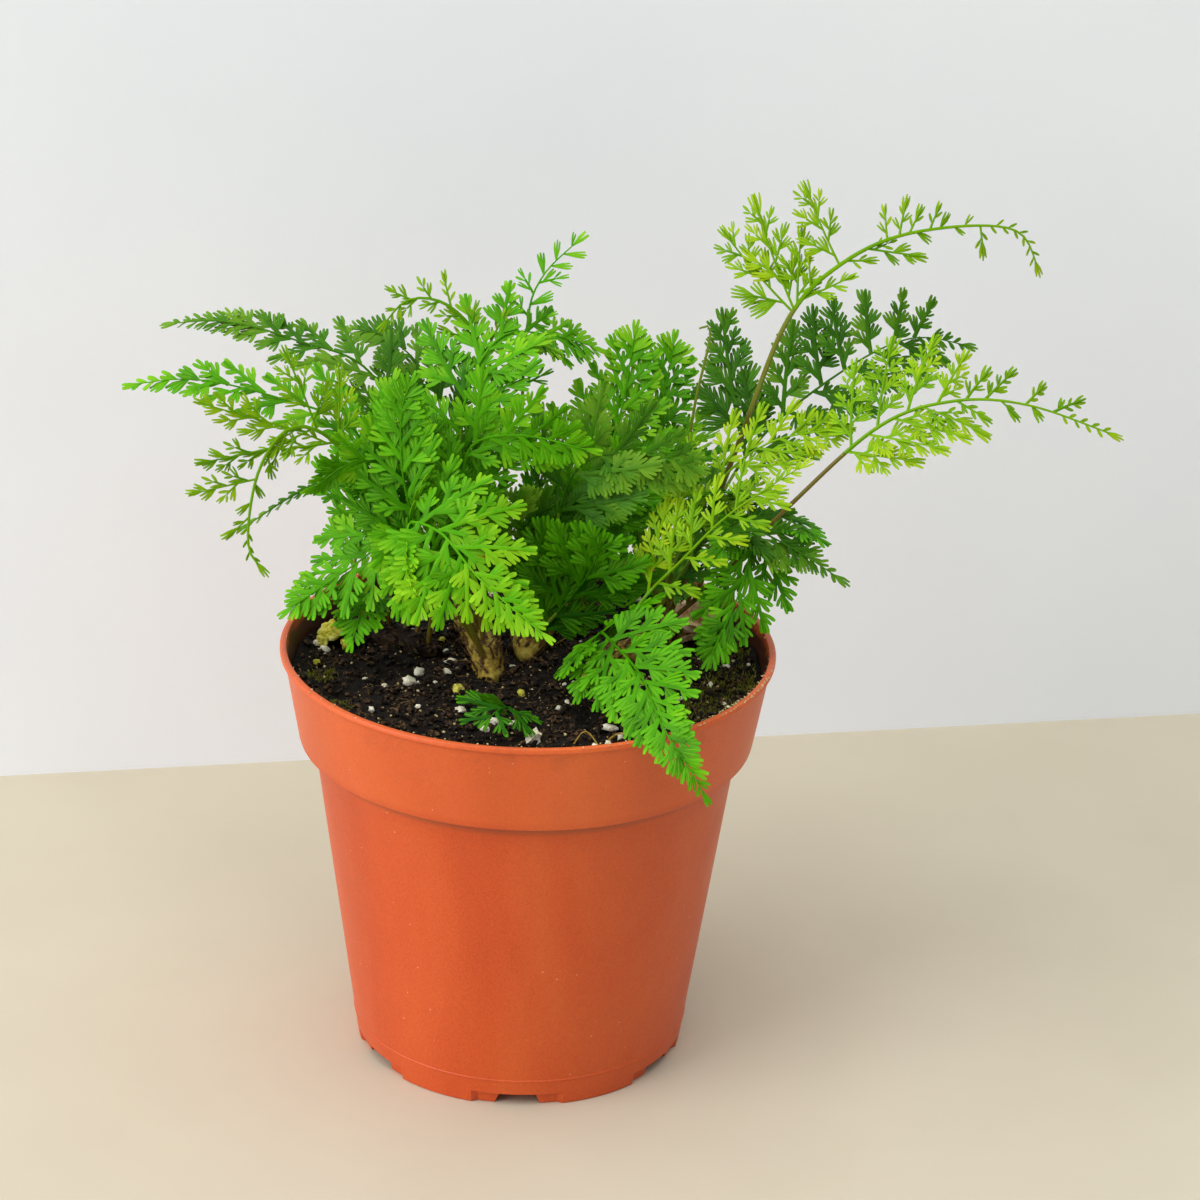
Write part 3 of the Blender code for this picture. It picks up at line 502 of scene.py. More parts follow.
class Route:
    """A smooth line through given points, with directions that twist as little as possible."""

    FINE = 12  # samples between two points

    def __init__(self, points: Sequence[Sequence[float]], face: Sequence[float]) -> None:
        """Walks the points.

        Args:
            points: The places that the line passes.
            face: Where the upper side looks, half way along.
        """
        pts = [Vector(p) for p in points]
        ends = [2 * pts[0] - pts[1], *pts, 2 * pts[-1] - pts[-2]]
        self.line: list[Vector] = []
        for a, b, c, d in zip(ends, ends[1:], ends[2:], ends[3:]):
            for i in range(self.FINE):
                t = i / self.FINE
                self.line.append(0.5 * (2 * b + (c - a) * t + (2 * a - 5 * b + 4 * c - d) * t * t
                                        + (3 * b - a - 3 * c + d) * t ** 3))
        self.line.append(pts[-1])
        self.reach = [0.0]
        for a, b in zip(self.line, self.line[1:]):
            self.reach.append(self.reach[-1] + (b - a).length)
        self.length = self.reach[-1]
        self._carry(Vector(face))

    def _carry(self, face: Vector) -> None:
        """Works out the directions at every sample, from the middle outwards."""
        last = len(self.line) - 1
        self.ahead = [(self.line[min(i + 1, last)] - self.line[max(i - 1, 0)]).normalized()
                      for i in range(last + 1)]
        middle = next(i for i, r in enumerate(self.reach) if r >= 0.6 * self.length)
        self.side = [Vector()] * (last + 1)
        self.side[middle] = self.ahead[middle].cross(face).normalized()
        for order in (range(middle + 1, last + 1), range(middle - 1, -1, -1)):
            before = middle
            for i in order:
                turned = self.ahead[before].rotation_difference(self.ahead[i]) @ self.side[before]
                self.side[i] = (turned - turned.dot(self.ahead[i]) * self.ahead[i]).normalized()
                before = i

    def stop(self, distance: float) -> Stop:
        """The place and directions at a distance from the foot."""
        k = 0
        while k < len(self.reach) - 2 and self.reach[k + 1] < distance:
            k += 1
        share = (distance - self.reach[k]) / max(self.reach[k + 1] - self.reach[k], 1e-9)
        share = min(1.0, max(0.0, share))
        ahead = self.ahead[k].lerp(self.ahead[k + 1], share).normalized()
        side = self.side[k].lerp(self.side[k + 1], share)
        side = (side - side.dot(ahead) * ahead).normalized()
        return Stop(self.line[k].lerp(self.line[k + 1], share), ahead, side, side.cross(ahead))

    def stops(self, step: float, end: float | None = None) -> list[Stop]:
        """Stops about one step apart, from the foot to an end distance, or to the tip."""
        end = self.length if end is None else end
        count = max(2, round(end / step))
        return [self.stop(end * i / count) for i in range(count + 1)]


@dataclass(frozen=True)
class Bend:
    """A side branch's line: it leaves one stop, hangs a little, and curves towards the frond's tip."""

    start: Stop
    length: float
    droop: float
    bow: Vector

    def stop(self, distance: float) -> Stop:
        """The place and directions at a distance from the branch's foot."""
        share = distance / self.length
        pull = self.bow - self.start.upper * self.droop
        point = self.start.point + self.start.ahead * distance + pull * (distance * share)
        ahead = (self.start.ahead + pull * (2 * share)).normalized()
        side = ahead.cross(self.start.upper).normalized()
        return Stop(point, ahead, side, side.cross(ahead))


def sweep(bm: bmesh.types.BMesh, stops: Sequence[Stop], radii: Sequence[float], sides: int,
          material: int = 0, tones: Sequence[float] = (), wing: float = 1.0) -> None:
    """Pushes a ring along some stops and closes both its ends.

    Args:
        bm: The mesh that it is added to.
        stops: Places along the line.
        radii: The ring's radius at each place.
        sides: Edges round the ring.
        material: Index of the faces' material.
        tones: Lightness at each place, if the mesh carries one.
        wing: How many times wider than tall the ring is.
    """
    layer = bm.verts.layers.float[TONE] if tones else None
    ring = bmesh.ops.create_circle(bm, segments=sides, radius=1.0)["verts"]
    for vert in ring if tones else ():
        vert[layer] = tones[0]
    edges = list({edge for vert in ring for edge in vert.link_edges})
    place = stops[0].ring_matrix(radii[0], wing)
    bmesh.ops.transform(bm, matrix=place, verts=ring)
    made = list(bmesh.ops.edgeloop_fill(bm, edges=edges)["faces"])
    for k, (stop, radius) in enumerate(zip(stops[1:], radii[1:]), 1):
        grown = bmesh.ops.extrude_edge_only(bm, edges=edges)["geom"]
        ring = [part for part in grown if isinstance(part, bmesh.types.BMVert)]
        edges = [part for part in grown if isinstance(part, bmesh.types.BMEdge)]
        made += [part for part in grown if isinstance(part, bmesh.types.BMFace)]
        following = stop.ring_matrix(radius, wing)
        bmesh.ops.transform(bm, matrix=following @ place.inverted(), verts=ring)
        for vert in ring if tones else ():
            vert[layer] = tones[k]
        place = following
    made += bmesh.ops.edgeloop_fill(bm, edges=edges)["faces"]
    bmesh.ops.recalc_face_normals(bm, faces=made)
    for face in made:
        face.material_index = material


def stamp(bm: bmesh.types.BMesh, mesh: bpy.types.Mesh, place: Matrix,
          tone: float | None = None) -> list[bmesh.types.BMVert]:
    """Copies a small mesh into a bmesh.

    Args:
        bm: The mesh that it is added to.
        mesh: What is copied.
        place: Where it goes.
        tone: Lightness of the copy, if the mesh carries one.

    Returns:
        The copy's vertices.
    """
    count = len(bm.verts)
    bm.from_mesh(mesh)
    fresh = bm.verts[count:]
    bmesh.ops.transform(bm, matrix=place, verts=fresh)
    if tone is not None:
        layer = bm.verts.layers.float[TONE]
        for vert in fresh:
            vert[layer] = tone
    return fresh


def leaf_bmesh() -> bmesh.types.BMesh:
    """An empty bmesh with the layers that leaves carry."""
    bm = bmesh.new()
    bm.loops.layers.uv.new(VEIN)
    bm.verts.layers.float.new(TONE)
    return bm


def bake(bm: bmesh.types.BMesh, name: str) -> bpy.types.Mesh:
    """Turns a bmesh in millimetres into a mesh in millimetres, and frees it."""
    mesh = bpy.data.meshes.new(name)
    bm.to_mesh(mesh)
    bm.free()
    return mesh


def piece(bm: bmesh.types.BMesh, name: str, materials: Sequence[bpy.types.Material],
          node: str | None = None, smooth_deg: float = 45.0) -> bpy.types.Object:
    """Finishes a bmesh in millimetres as a piece of the plant.

    Args:
        bm: The mesh; it is freed.
        name: The piece's name.
        materials: Its materials, in the order of the faces' indices.
        node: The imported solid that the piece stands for.
        smooth_deg: Edges that turn more than this stay sharp.

    Returns:
        The object, in metres, riding on the root body.
    """
    bmesh.ops.transform(bm, matrix=Matrix.Scale(MM, 4), verts=bm.verts)
    mesh = bake(bm, name)
    for material in materials:
        mesh.materials.append(material)
    mesh.shade_smooth()
    mesh.set_sharp_from_angle(angle=math.radians(smooth_deg))
    obj = bpy.data.objects.new(name, mesh)
    bpy.context.scene.collection.objects.link(obj)
    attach(obj, ROOT)
    if node:
        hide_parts(node)
    LOG.info("%s: %d faces", name, len(mesh.polygons))
    return obj


class SegmentStock:
    """Cut leaf segments of one kind, with one to five teeth and several shapes of each."""

    MOST_TEETH = 5
    SHAPES = 6
    SLITS = (0.0, 0.05, 0.12, 0.26)  # extra depth of a slit between teeth, as shares of the length
    TOOTH_SHOULDER = 0.62  # where a tooth is widest

    def __init__(self, kind: LeafKind, cut: SegmentCut) -> None:
        """Cuts the stock.

        Args:
            kind: The kind of leaf, which names and seeds the stock.
            cut: How its segments are cut.
        """
        rnd = random.Random(kind.value)
        self.cut = cut
        self.lengths = [cut.first_length + cut.tooth_adds * k for k in range(self.MOST_TEETH)]
        self.meshes = [[self._segment(k + 1, length, rnd) for _ in range(self.SHAPES)]
                       for k, length in enumerate(self.lengths)]

    def pick(self, length: float, rnd: random.Random) -> tuple[bpy.types.Mesh, float]:
        """The segment that is nearest to a length, and the scale that makes it fit."""
        k = min(range(self.MOST_TEETH), key=lambda i: abs(self.lengths[i] - length))
        return rnd.choice(self.meshes[k]), length / self.lengths[k]

    def _segment(self, teeth: int, length: float, rnd: random.Random) -> bpy.types.Mesh:
        """One segment along +Y: a wedge whose outer edges are drawn out into teeth."""
        cut = self.cut
        bm = leaf_bmesh()
        vein = bm.loops.layers.uv[VEIN]
        rows = 2 if teeth == 1 else 1
        bmesh.ops.create_grid(bm, x_segments=teeth, y_segments=rows, size=0.5)
        half = length * (cut.slim_share + cut.tooth_widens * teeth) / 2
        for face in bm.faces:
            middle = face.calc_center_median().x
            for loop in face.loops:
                loop[vein].uv = (0.0 if loop.vert.co.x < middle else 1.0, 0.5 * (loop.vert.co.y + 0.5))
        for vert in bm.verts:
            across, up = vert.co.x * 2, vert.co.y + 0.5
            girth = cut.neck + (0.96 - cut.neck) * up
            y = length * cut.fuse_at * up * (1.0 - 0.22 * across * across * up)
            if up > 0.9 and abs(across) < 0.95:
                y -= length * rnd.choice(self.SLITS)
            vert.co = (across * half * girth, y, 0.0)
        tops = [edge for edge in bm.edges
                if len(edge.link_faces) == 1 and min(v.co.y for v in edge.verts) > length * 0.2
                and abs(edge.verts[0].co.x - edge.verts[1].co.x) > half / teeth]
        room = 2 * half / teeth
        for edge in tops:
            low, high = sorted(edge.verts, key=lambda v: v.co.x)
            place = (low.co.x + high.co.x) / (2 * half)
            turn = math.radians(cut.fan_deg * place + rnd.uniform(-3, 3))
            tip = length * (1.0 - 0.16 * place * place) * rnd.uniform(0.93, 1.03)
            middle = (low.co + high.co) / 2
            direction = Vector((math.sin(turn), math.cos(turn), 0.0))
            self._draw_tooth(bm, low, high, edge, direction, tip - middle.y, room)
        twist = rnd.uniform(-0.05, 0.05)
        for vert in bm.verts:
            x, y = vert.co.x, vert.co.y
            vert.co.z = 0.1 * math.sin(2.3 * y + 1.6 * x) - cut.fold * abs(x) - cut.arch * y * y + twist * x * y
        bmesh.ops.recalc_face_normals(bm, faces=bm.faces)
        if sum(face.normal.z for face in bm.faces) < 0:
            bmesh.ops.reverse_faces(bm, faces=bm.faces)
        bmesh.ops.solidify(bm, geom=bm.faces[:], thickness=cut.thickness)
        bmesh.ops.recalc_face_normals(bm, faces=bm.faces)
        return bake(bm, "segment")

    def _draw_tooth(self, bm: bmesh.types.BMesh, low: bmesh.types.BMVert, high: bmesh.types.BMVert,
                    edge: bmesh.types.BMEdge, direction: Vector, reach: float, room: float) -> None:
        """Draws the edge between two vertices out into one tooth."""
        vein = bm.loops.layers.uv[VEIN]
        middle = (low.co + high.co) / 2
        across = Vector((direction.y, -direction.x, 0.0))
        before = 0.0
        for share, girth in ((self.TOOTH_SHOULDER, self.cut.fill), (1.0, self.cut.point)):
            grown = bmesh.ops.extrude_edge_only(bm, edges=[edge])["geom"]
            fresh = [part for part in grown if isinstance(part, bmesh.types.BMVert)]
            edge = next(part for part in grown if isinstance(part, bmesh.types.BMEdge))
            face = next(part for part in grown if isinstance(part, bmesh.types.BMFace))
            new_low = min(fresh, key=lambda v: (v.co - low.co).length)
            new_high = fresh[0] if new_low is fresh[1] else fresh[1]
            centre = middle + direction * (reach * share)
            new_low.co = centre - across * (room * girth / 2)
            new_high.co = centre + across * (room * girth / 2)
            for loop in face.loops:
                along = share if loop.vert in (new_low, new_high) else before
                loop[vein].uv = (0.0 if loop.vert in (low, new_low) else 1.0, 0.5 + 0.5 * along)
            low, high, before = new_low, new_high, share


@dataclass(frozen=True)
class Rhizome:
    """A creeping stem that lies half in the soil, under papery scales."""

    name: str
    points: tuple
    radius: float
    seed: int
    sides: int = 14
    step: float = 1.3
    scale_step: float = 1.15
    scale_length: float = 3.5
    scale_width: float = 0.85
    scale_rows: int = 7
    husk: float = 0.0  # length of the dried end, whose scales are large and pale
    buried: bool = False  # peat clings to its skin
    crown: tuple = ()  # where torn papery husks stand up

    HUSKS = 15

    def route(self) -> Route:
        """The rhizome's centre line."""
        return Route(self.points, (0, 0, 1))

    def foot(self, along: float) -> Vector:
        """A point on the centre line, from 0 at its start to 1 at its end."""
        route = self.route()
        return route.stop(along * route.length).point

    def _radius_at(self, route: Route, distance: float) -> float:
        """Radius at a distance: tapered at both ends, with swollen joints."""
        end = min(distance, route.length - distance)
        taper = min(1.0, 0.5 + 0.5 * math.sqrt(max(0.0, end) / 5.0))
        joint = 1.0 + 0.07 * math.sin(distance * 0.9 + self.seed)
        return 0.86 * self.radius * taper * joint

    def build(self, bark: bpy.types.Material, scale: bpy.types.Material,
              dry: bpy.types.Material) -> bpy.types.Object:
        """Builds the stem and its scales.

        Args:
            bark: The stem's own skin.
            scale: The papery scales on it.
            dry: The husk at a dried end.

        Returns:
            The finished piece.
        """
        rnd = random.Random(self.seed)
        route = self.route()
        stops = route.stops(self.step)
        radii = [self._radius_at(route, route.length * i / (len(stops) - 1)) for i in range(len(stops))]
        bm = bmesh.new()
        first, last = stops[0], stops[-1]
        caps = (Stop(first.point - first.ahead * radii[0] * 0.7, first.ahead, first.side, first.upper),
                Stop(last.point + last.ahead * radii[-1] * 0.7, last.ahead, last.side, last.upper))
        sweep(bm, [caps[0], *stops, caps[1]], [radii[0] * 0.35, *radii, radii[-1] * 0.35], self.sides)
        for vert in bm.verts:
            vert.co += noise.noise_vector(vert.co * 0.45) * 0.55
        flake = self._flake()
        distance = 0.4
        while distance < route.length:
            stop = route.stop(distance)
            radius = self._radius_at(route, distance)
            husk = distance > route.length - self.husk
            for k in range(self.scale_rows):
                angle = 2 * math.pi * (k + rnd.random()) / self.scale_rows
                out = (stop.upper * math.cos(angle) + stop.side * math.sin(angle)).normalized()
                if out.z < -0.45:
                    continue
                ahead = (stop.ahead + out * rnd.uniform(0.12, 0.5)).normalized()
                ahead = (Matrix.Rotation(rnd.uniform(-0.7, 0.7), 3, out) @ ahead).normalized()
                upper = (out - out.dot(ahead) * ahead).normalized()
                at = Stop(stop.point + out * (radius + 0.05), ahead, ahead.cross(upper), upper)
                size = rnd.uniform(1.1, 1.7) if husk else rnd.uniform(0.45, 1.1)
                for vert in stamp(bm, flake, at.leaf_matrix(size)):
                    for face in vert.link_faces:
                        face.material_index = 2 if husk else 1
            distance += self.scale_step
        for k in range(self.HUSKS if self.crown else 0):
            angle = 2 * math.pi * (k + rnd.random()) / self.HUSKS
            out = Vector((-0.5 + 0.9 * math.cos(angle), -0.3, 0.55 + 0.5 * math.sin(angle))).normalized()
            side = out.cross(Vector((rnd.uniform(-0.4, 0.4), -0.8, 0.6))).normalized()
            at = Stop(Vector(self.crown) + 0.4 * out, out, side, side.cross(out))
            for vert in stamp(bm, flake, at.leaf_matrix(rnd.uniform(1.4, 2.3), 0.5)):
                for face in vert.link_faces:
                    face.material_index = 2
        bmesh.ops.recalc_face_normals(bm, faces=bm.faces)
        return piece(bm, self.name + "_stem", (bark, scale, dry), self.name, 50.0)

    def _flake(self) -> bpy.types.Mesh:
        """One pointed scale along +Y."""
        bm = bmesh.new()
        bmesh.ops.create_grid(bm, x_segments=2, y_segments=3, size=0.5)
        for vert in bm.verts:
            t = vert.co.y + 0.5
            x = vert.co.x * self.scale_width * 2.0 * (0.45 + 1.1 * t) * (1.0 - t) ** 0.8
            vert.co = (x, t * self.scale_length, 0.22 * math.sin(t * 2.4) - 0.35 * x * x)
        bmesh.ops.remove_doubles(bm, verts=bm.verts, dist=0.02)
        bmesh.ops.solidify(bm, geom=bm.faces[:], thickness=0.1)
        bmesh.ops.recalc_face_normals(bm, faces=bm.faces)
        return bake(bm, "flake")


@dataclass(frozen=True)
class Frond:
    """One frond: its stem, its rib and every leaflet. Sizes are in millimetres."""

    name: str
    bed: str
    along: float
    route: tuple
    bare: float
    reach: float
    face: tuple
    kind: LeafKind = LeafKind.GREEN
    angle: float = 48.0
    droop: float = 0.12
    taper: float = 0.8
    pitch: float = 1.0  # spacing of the side branches against the usual
    tone: float = 0.0  # lighter or darker than its kind
    simple_below: float = 8.5  # a side branch that is shorter than this is one cut leaflet
    fullness: float = 1.1  # length of the side branches against the solid's
    open: float = 1.0  # length and spacing of the leaflets against the usual
    slender: float = 1.0  # how much narrower its segments are than the cut ones
    ragged: float = 0.08  # how much the side branches vary in length
    skirt: float = 0.0  # share of the rib's length that carries small branches below the blade
    branches: tuple = ()  # the first ones, as (share of the rib, side, length, angle); -1 is up and left
    stalk_tones: tuple = (0.1, 0.85)  # of its stem: brown at 0, green at 1
    stem_radius: float = 0.62
    blade_radius: float = 0.36
    tip_radius: float = 0.13
    tip_room: float = 3.0  # the rib stops this far before the solid's end, for the last leaflet
    twist_deg: float = 16.0
    stem_step: float = 2.2

    def build(self, foot: Vector, stock: SegmentStock, leaf: bpy.types.Material,
              skin: bpy.types.Material) -> bpy.types.Object:
        """Grows the frond.

        Args:
            foot: Where its stem starts, inside the rhizome or the soil.
            stock: Leaflets of its kind.
            leaf: The leaves' material.
            skin: The stem's material.

        Returns:
            The finished piece, which stands for the solid of the same name.
        """
        rnd = random.Random(self.name)
        habit = HABITS[self.kind]
        rib = Route([foot, *self.route], self.face)
        bm = leaf_bmesh()
        end = rib.length - self.tip_room
        blade_from = self.bare * rib.length
        stalk = rib.stops(self.stem_step, blade_from + 1.0)
        shares = [i / (len(stalk) - 1) for i in range(len(stalk))]
        sweep(bm, stalk, [self.stem_radius + (self.blade_radius - self.stem_radius) * share
                          for share in shares], 6, 1,
              [self.stalk_tones[0] * (1.0 - share) + self.stalk_tones[1] * share for share in shares])
        count = max(3, round((end - blade_from) / self.stem_step))
        shares = [i / count for i in range(count + 1)]
        sweep(bm, [rib.stop(blade_from + (end - blade_from) * share) for share in shares],
              [self.blade_radius + (self.tip_radius - self.blade_radius) * share for share in shares],
              6, 0, [habit.tone + self.tone + 0.16 * share for share in shares])
        for share, side, length, angle in self.branches:
            tone = habit.tone + self.tone + rnd.uniform(-0.12, 0.12)
            self._join(bm, rib, share * rib.length, side * angle, length, habit, stock, tone, rnd)
        side = 1
        distance = blade_from - self.skirt * rib.length
        if self.branches:
            distance = max(branch[0] for branch in self.branches) * rib.length + 2.0
        while distance < end - 0.6:
            t = max(0.0, (distance - blade_from) / (rib.length - blade_from))
            length = self.reach * self.fullness * min(1.0, 1.04 * (1.0 - t) ** self.taper + 0.05)
            length *= rnd.uniform(1.0 - 1.2 * self.ragged, 1.0 + 0.8 * self.ragged)
            length *= 0.62 if distance < blade_from else 1.0
            lean = side * self.angle * (1.0 - 0.38 * t) * rnd.uniform(0.9, 1.1)
            tone = habit.tone + self.tone + 0.16 * t + rnd.uniform(-0.14, 0.14)
            self._join(bm, rib, distance, lean, length, habit, stock, tone, rnd)
            spacing = habit.crowding * self.pitch * length
            distance += max(1.3, spacing * rnd.uniform(1.0 - 1.5 * self.ragged, 1.0 + 1.5 * self.ragged))
            side = -side
        mesh, scale = stock.pick(self.tip_room + 1.2, rnd)
        stamp(bm, mesh, rib.stop(end - 0.4).leaf_matrix(scale, 1.3), habit.tone + self.tone + 0.2)
        return piece(bm, self.name + "_foliage", (leaf, skin), self.name, 50.0)

    def _join(self, bm: bmesh.types.BMesh, rib: Route, distance: float, lean: float, length: float,
              habit: Habit, stock: SegmentStock, tone: float, rnd: random.Random) -> None:
        """Makes a side branch that leaves the rib at a distance and an angle, and joins it on."""
        tilt = math.copysign(self.twist_deg, -lean) + rnd.uniform(-10, 10)
        start = rib.stop(distance).leaned(lean, tilt)
        branch = self._branch(start, rib.stop(distance).ahead, length, habit, stock, tone, rnd)
        bm.from_mesh(branch)
        bpy.data.meshes.remove(branch)

    def _branch(self, start: Stop, tipward: Vector, length: float, habit: Habit, stock: SegmentStock,
                tone: float, rnd: random.Random) -> bpy.types.Mesh:
        """One side branch with its leaflets.

        Args:
            start: Where it leaves the rib, and its directions.
            tipward: The way that the rib runs.
            length: The branch's length.
            habit: How this kind of frond is built.
            stock: Segments of its kind.
            tone: How light its leaflets are.
            rnd: The frond's random draw.

        Returns:
            A mesh that the frond copies.
        """
        bm = leaf_bmesh()
        if length < self.simple_below:
            self._leaflet(bm, start, max(length, habit.least_leaflet), habit, stock, tone, rnd)
            return bake(bm, "branch")
        bend = Bend(start, length, self.droop * rnd.uniform(0.7, 1.4), tipward * habit.bow)
        count = max(3, round(length / 3.0))
        stops = [bend.stop(length * i / count) for i in range(count + 1)]
        sweep(bm, stops, [0.17 - 0.07 * i / count for i in range(count + 1)], 4, 0,
              [tone + 0.05] * (count + 1), habit.wing / self.slender)
        distance = max(1.2, habit.stalk_share * length)
        side = rnd.choice((-1, 1))
        end = 0.93 * length - 2.4
        while distance < end:
            t = distance / length
            profile = min(1.0, 0.8 + 1.5 * t) * (1.06 - t) ** 0.62
            leaflet = max(habit.least_leaflet, habit.leaflet_share * self.open * length * profile)
            leaflet *= rnd.uniform(0.88, 1.12)
            lean = side * habit.leaflet_deg * (1.0 - 0.3 * t) * rnd.uniform(0.88, 1.12)
            place = bend.stop(distance).leaned(lean, side * rnd.uniform(-20, 8), 0.1)
            self._leaflet(bm, place, leaflet, habit, stock, tone + 0.08 * t + rnd.uniform(-0.13, 0.13), rnd)
            distance += self.open * (0.35 + habit.spacing * leaflet)
            side = -side
        mesh, scale = stock.pick(length - distance + 1.6, rnd)
        stamp(bm, mesh, bend.stop(distance - 0.6).leaf_matrix(scale, self.slender), tone + 0.1)
        return bake(bm, "branch")

    def _leaflet(self, bm: bmesh.types.BMesh, start: Stop, length: float, habit: Habit,
                 stock: SegmentStock, tone: float, rnd: random.Random) -> None:
        """One leaflet: a single segment if it is short, and otherwise a winged rib with segments."""
        if length <= habit.divided_above:
            mesh, scale = stock.pick(length, rnd)
            stamp(bm, mesh, start.leaf_matrix(scale, self.slender), tone)
            return
        line = Bend(start, length, self.droop * 0.5, Vector())
        sweep(bm, [line.stop(length * share) for share in (0.0, 0.3, 0.6)], [0.13, 0.13, 0.11], 4, 0,
              [tone] * 3, 1.2 * habit.wing / self.slender)
        distance = 0.14 * length
        side = rnd.choice((-1, 1))
        while distance < 0.6 * length:
            share = distance / length
            part = (0.54 * (1.05 - share) * length + 0.8) * rnd.uniform(0.9, 1.1)
            mesh, scale = stock.pick(part, rnd)
            place = line.stop(distance).leaned(side * 36.0 * rnd.uniform(0.85, 1.1), side * rnd.uniform(-12, 6))
            stamp(bm, mesh, place.leaf_matrix(scale, self.slender), tone + rnd.uniform(-0.04, 0.08))
            distance += 0.2 + habit.spacing * part
            side = -side
        mesh, scale = stock.pick(length - distance + 1.2, rnd)
        stamp(bm, mesh, line.stop(distance - 0.5).leaf_matrix(scale, self.slender), tone + 0.05)


@dataclass(frozen=True)
class NurseryPot:
    """The moulded pot. Sizes are in millimetres."""

    lip_r: float = 54.0
    height: float = 94.5
    lip_tall: float = 1.2
    lip_wide: float = 1.5
    band_top_r: float = 53.1
    band_low_r: float = 49.8
    band_z: float = 73.8
    body_top_r: float = 46.5
    step_z: float = 72.6
    foot_r: float = 36.4
    wall: float = 1.1
    floor: float = 1.2
    floor_rise: float = 3.2
    pad_r: float = 19.0
    channel_r: float = 22.0
    notches: int = 6
    notch_tall: float = 3.0
    slot_deg: float = 6.0
    recess_deg: float = 15.0
    recess_deep: float = 0.95
    parting_z: float = 6.6
    drain_r: float = 3.0
    sides: int = 180
    round_off: float = 0.35

    def _profile(self) -> list[tuple[float, float]]:
        """Half of the pot's section, from the middle of its underside, out, up, over and back in."""
        slope = (self.body_top_r - self.foot_r) / self.step_z

        def body_r(z: float) -> float:
            return self.foot_r + slope * z

        ring_in = self.foot_r - self.wall - 0.5
        lip_z = self.height - self.lip_tall
        inner_band = self.band_low_r - self.wall
        rim_in = self.lip_r - self.lip_wide
        floor_z = self.floor_rise + self.floor
        part = self.parting_z
        return [
            (0.0, 0.0), (self.pad_r - 0.4, 0.0), (self.pad_r, 0.12),
            (self.channel_r, self.floor_rise), (ring_in, self.floor_rise),
            (ring_in, self.notch_tall), (ring_in, 0.3), (ring_in + 0.2, 0.0),
            (self.foot_r - 0.3, 0.0), (self.foot_r, 0.3), (body_r(2.9), 2.9), (body_r(3.05), 3.05),
            (body_r(part - 0.25), part - 0.25), (body_r(part) + 0.14, part - 0.1),
            (body_r(part) + 0.14, part + 0.1), (body_r(part + 0.25), part + 0.25),
            (body_r(30.0), 30.0), (body_r(55.0), 55.0), (body_r(71.0), 71.0),
            (self.body_top_r + 0.05, self.step_z - 0.5), (self.body_top_r + 0.5, self.step_z),
            (self.band_low_r - 0.6, self.band_z - 0.25), (self.band_low_r - 0.1, self.band_z + 0.05),
            (self.band_low_r + 0.08, self.band_z + 0.6),
            (self.band_top_r - 0.1, lip_z - 1.0), (self.band_top_r + 0.12, lip_z - 0.35),
            (self.lip_r - 0.25, lip_z - 0.12), (self.lip_r, lip_z + 0.2),
            (self.lip_r, self.height - 0.45), (self.lip_r - 0.15, self.height - 0.14),
            (self.lip_r - 0.45, self.height), (rim_in + 0.35, self.height),
            (rim_in + 0.08, self.height - 0.15), (rim_in - 0.05, self.height - 0.6),
            (inner_band + 0.1, self.band_z + 1.4), (inner_band - 0.3, self.band_z + 0.8),
            (self.body_top_r - self.wall, self.step_z - 0.4),
            (body_r(floor_z) - self.wall, floor_z), (self.channel_r - 0.6, floor_z),
            (self.pad_r - 0.8, self.floor), (0.0, self.floor),
        ]

    def _cut_foot(self, bm: bmesh.types.BMesh) -> None:
        """Raises the foot ring into six slots, each in the middle of a shallow outer recess."""
        pitch = 360.0 / self.notches
        for vert in bm.verts:
            radius = math.hypot(vert.co.x, vert.co.y)
            if radius < self.foot_r - self.wall - 0.7 or vert.co.z > self.notch_tall + 0.02:
                continue
            turn = math.degrees(math.atan2(vert.co.x, -vert.co.y))
            off = abs((turn + pitch / 2) % pitch - pitch / 2)
            if off < self.recess_deg + 0.5 and radius > self.foot_r - 0.4:
                shrink = (radius - self.recess_deep) / radius
                vert.co.x *= shrink
                vert.co.y *= shrink
            if off < self.slot_deg + 0.5:
                vert.co.z = max(vert.co.z, self.notch_tall - 0.08 + 0.02 * vert.co.z)

    def build(self, plastic: bpy.types.Material) -> bpy.types.Object:
        """Spins the section, cuts the foot and drills the drain holes.

        Args:
            plastic: The pot's material.

        Returns:
            The finished piece.
        """
        bm = bmesh.new()
        chain = [bm.verts.new((0.0, -r, z)) for r, z in self._profile()]
        edges = [bm.edges.new(pair) for pair in zip(chain, chain[1:])]
        bmesh.ops.spin(bm, geom=chain + edges, cent=(0, 0, 0), axis=(0, 0, 1), dvec=(0, 0, 0),
                       angle=2 * math.pi, steps=self.sides, use_merge=True)
        bmesh.ops.remove_doubles(bm, verts=bm.verts, dist=0.001)
        self._cut_foot(bm)
        bmesh.ops.recalc_face_normals(bm, faces=bm.faces)
        pot = piece(bm, "nursery_pot", (plastic,), "pot", 32.0)
        self._drill(pot)
        return pot

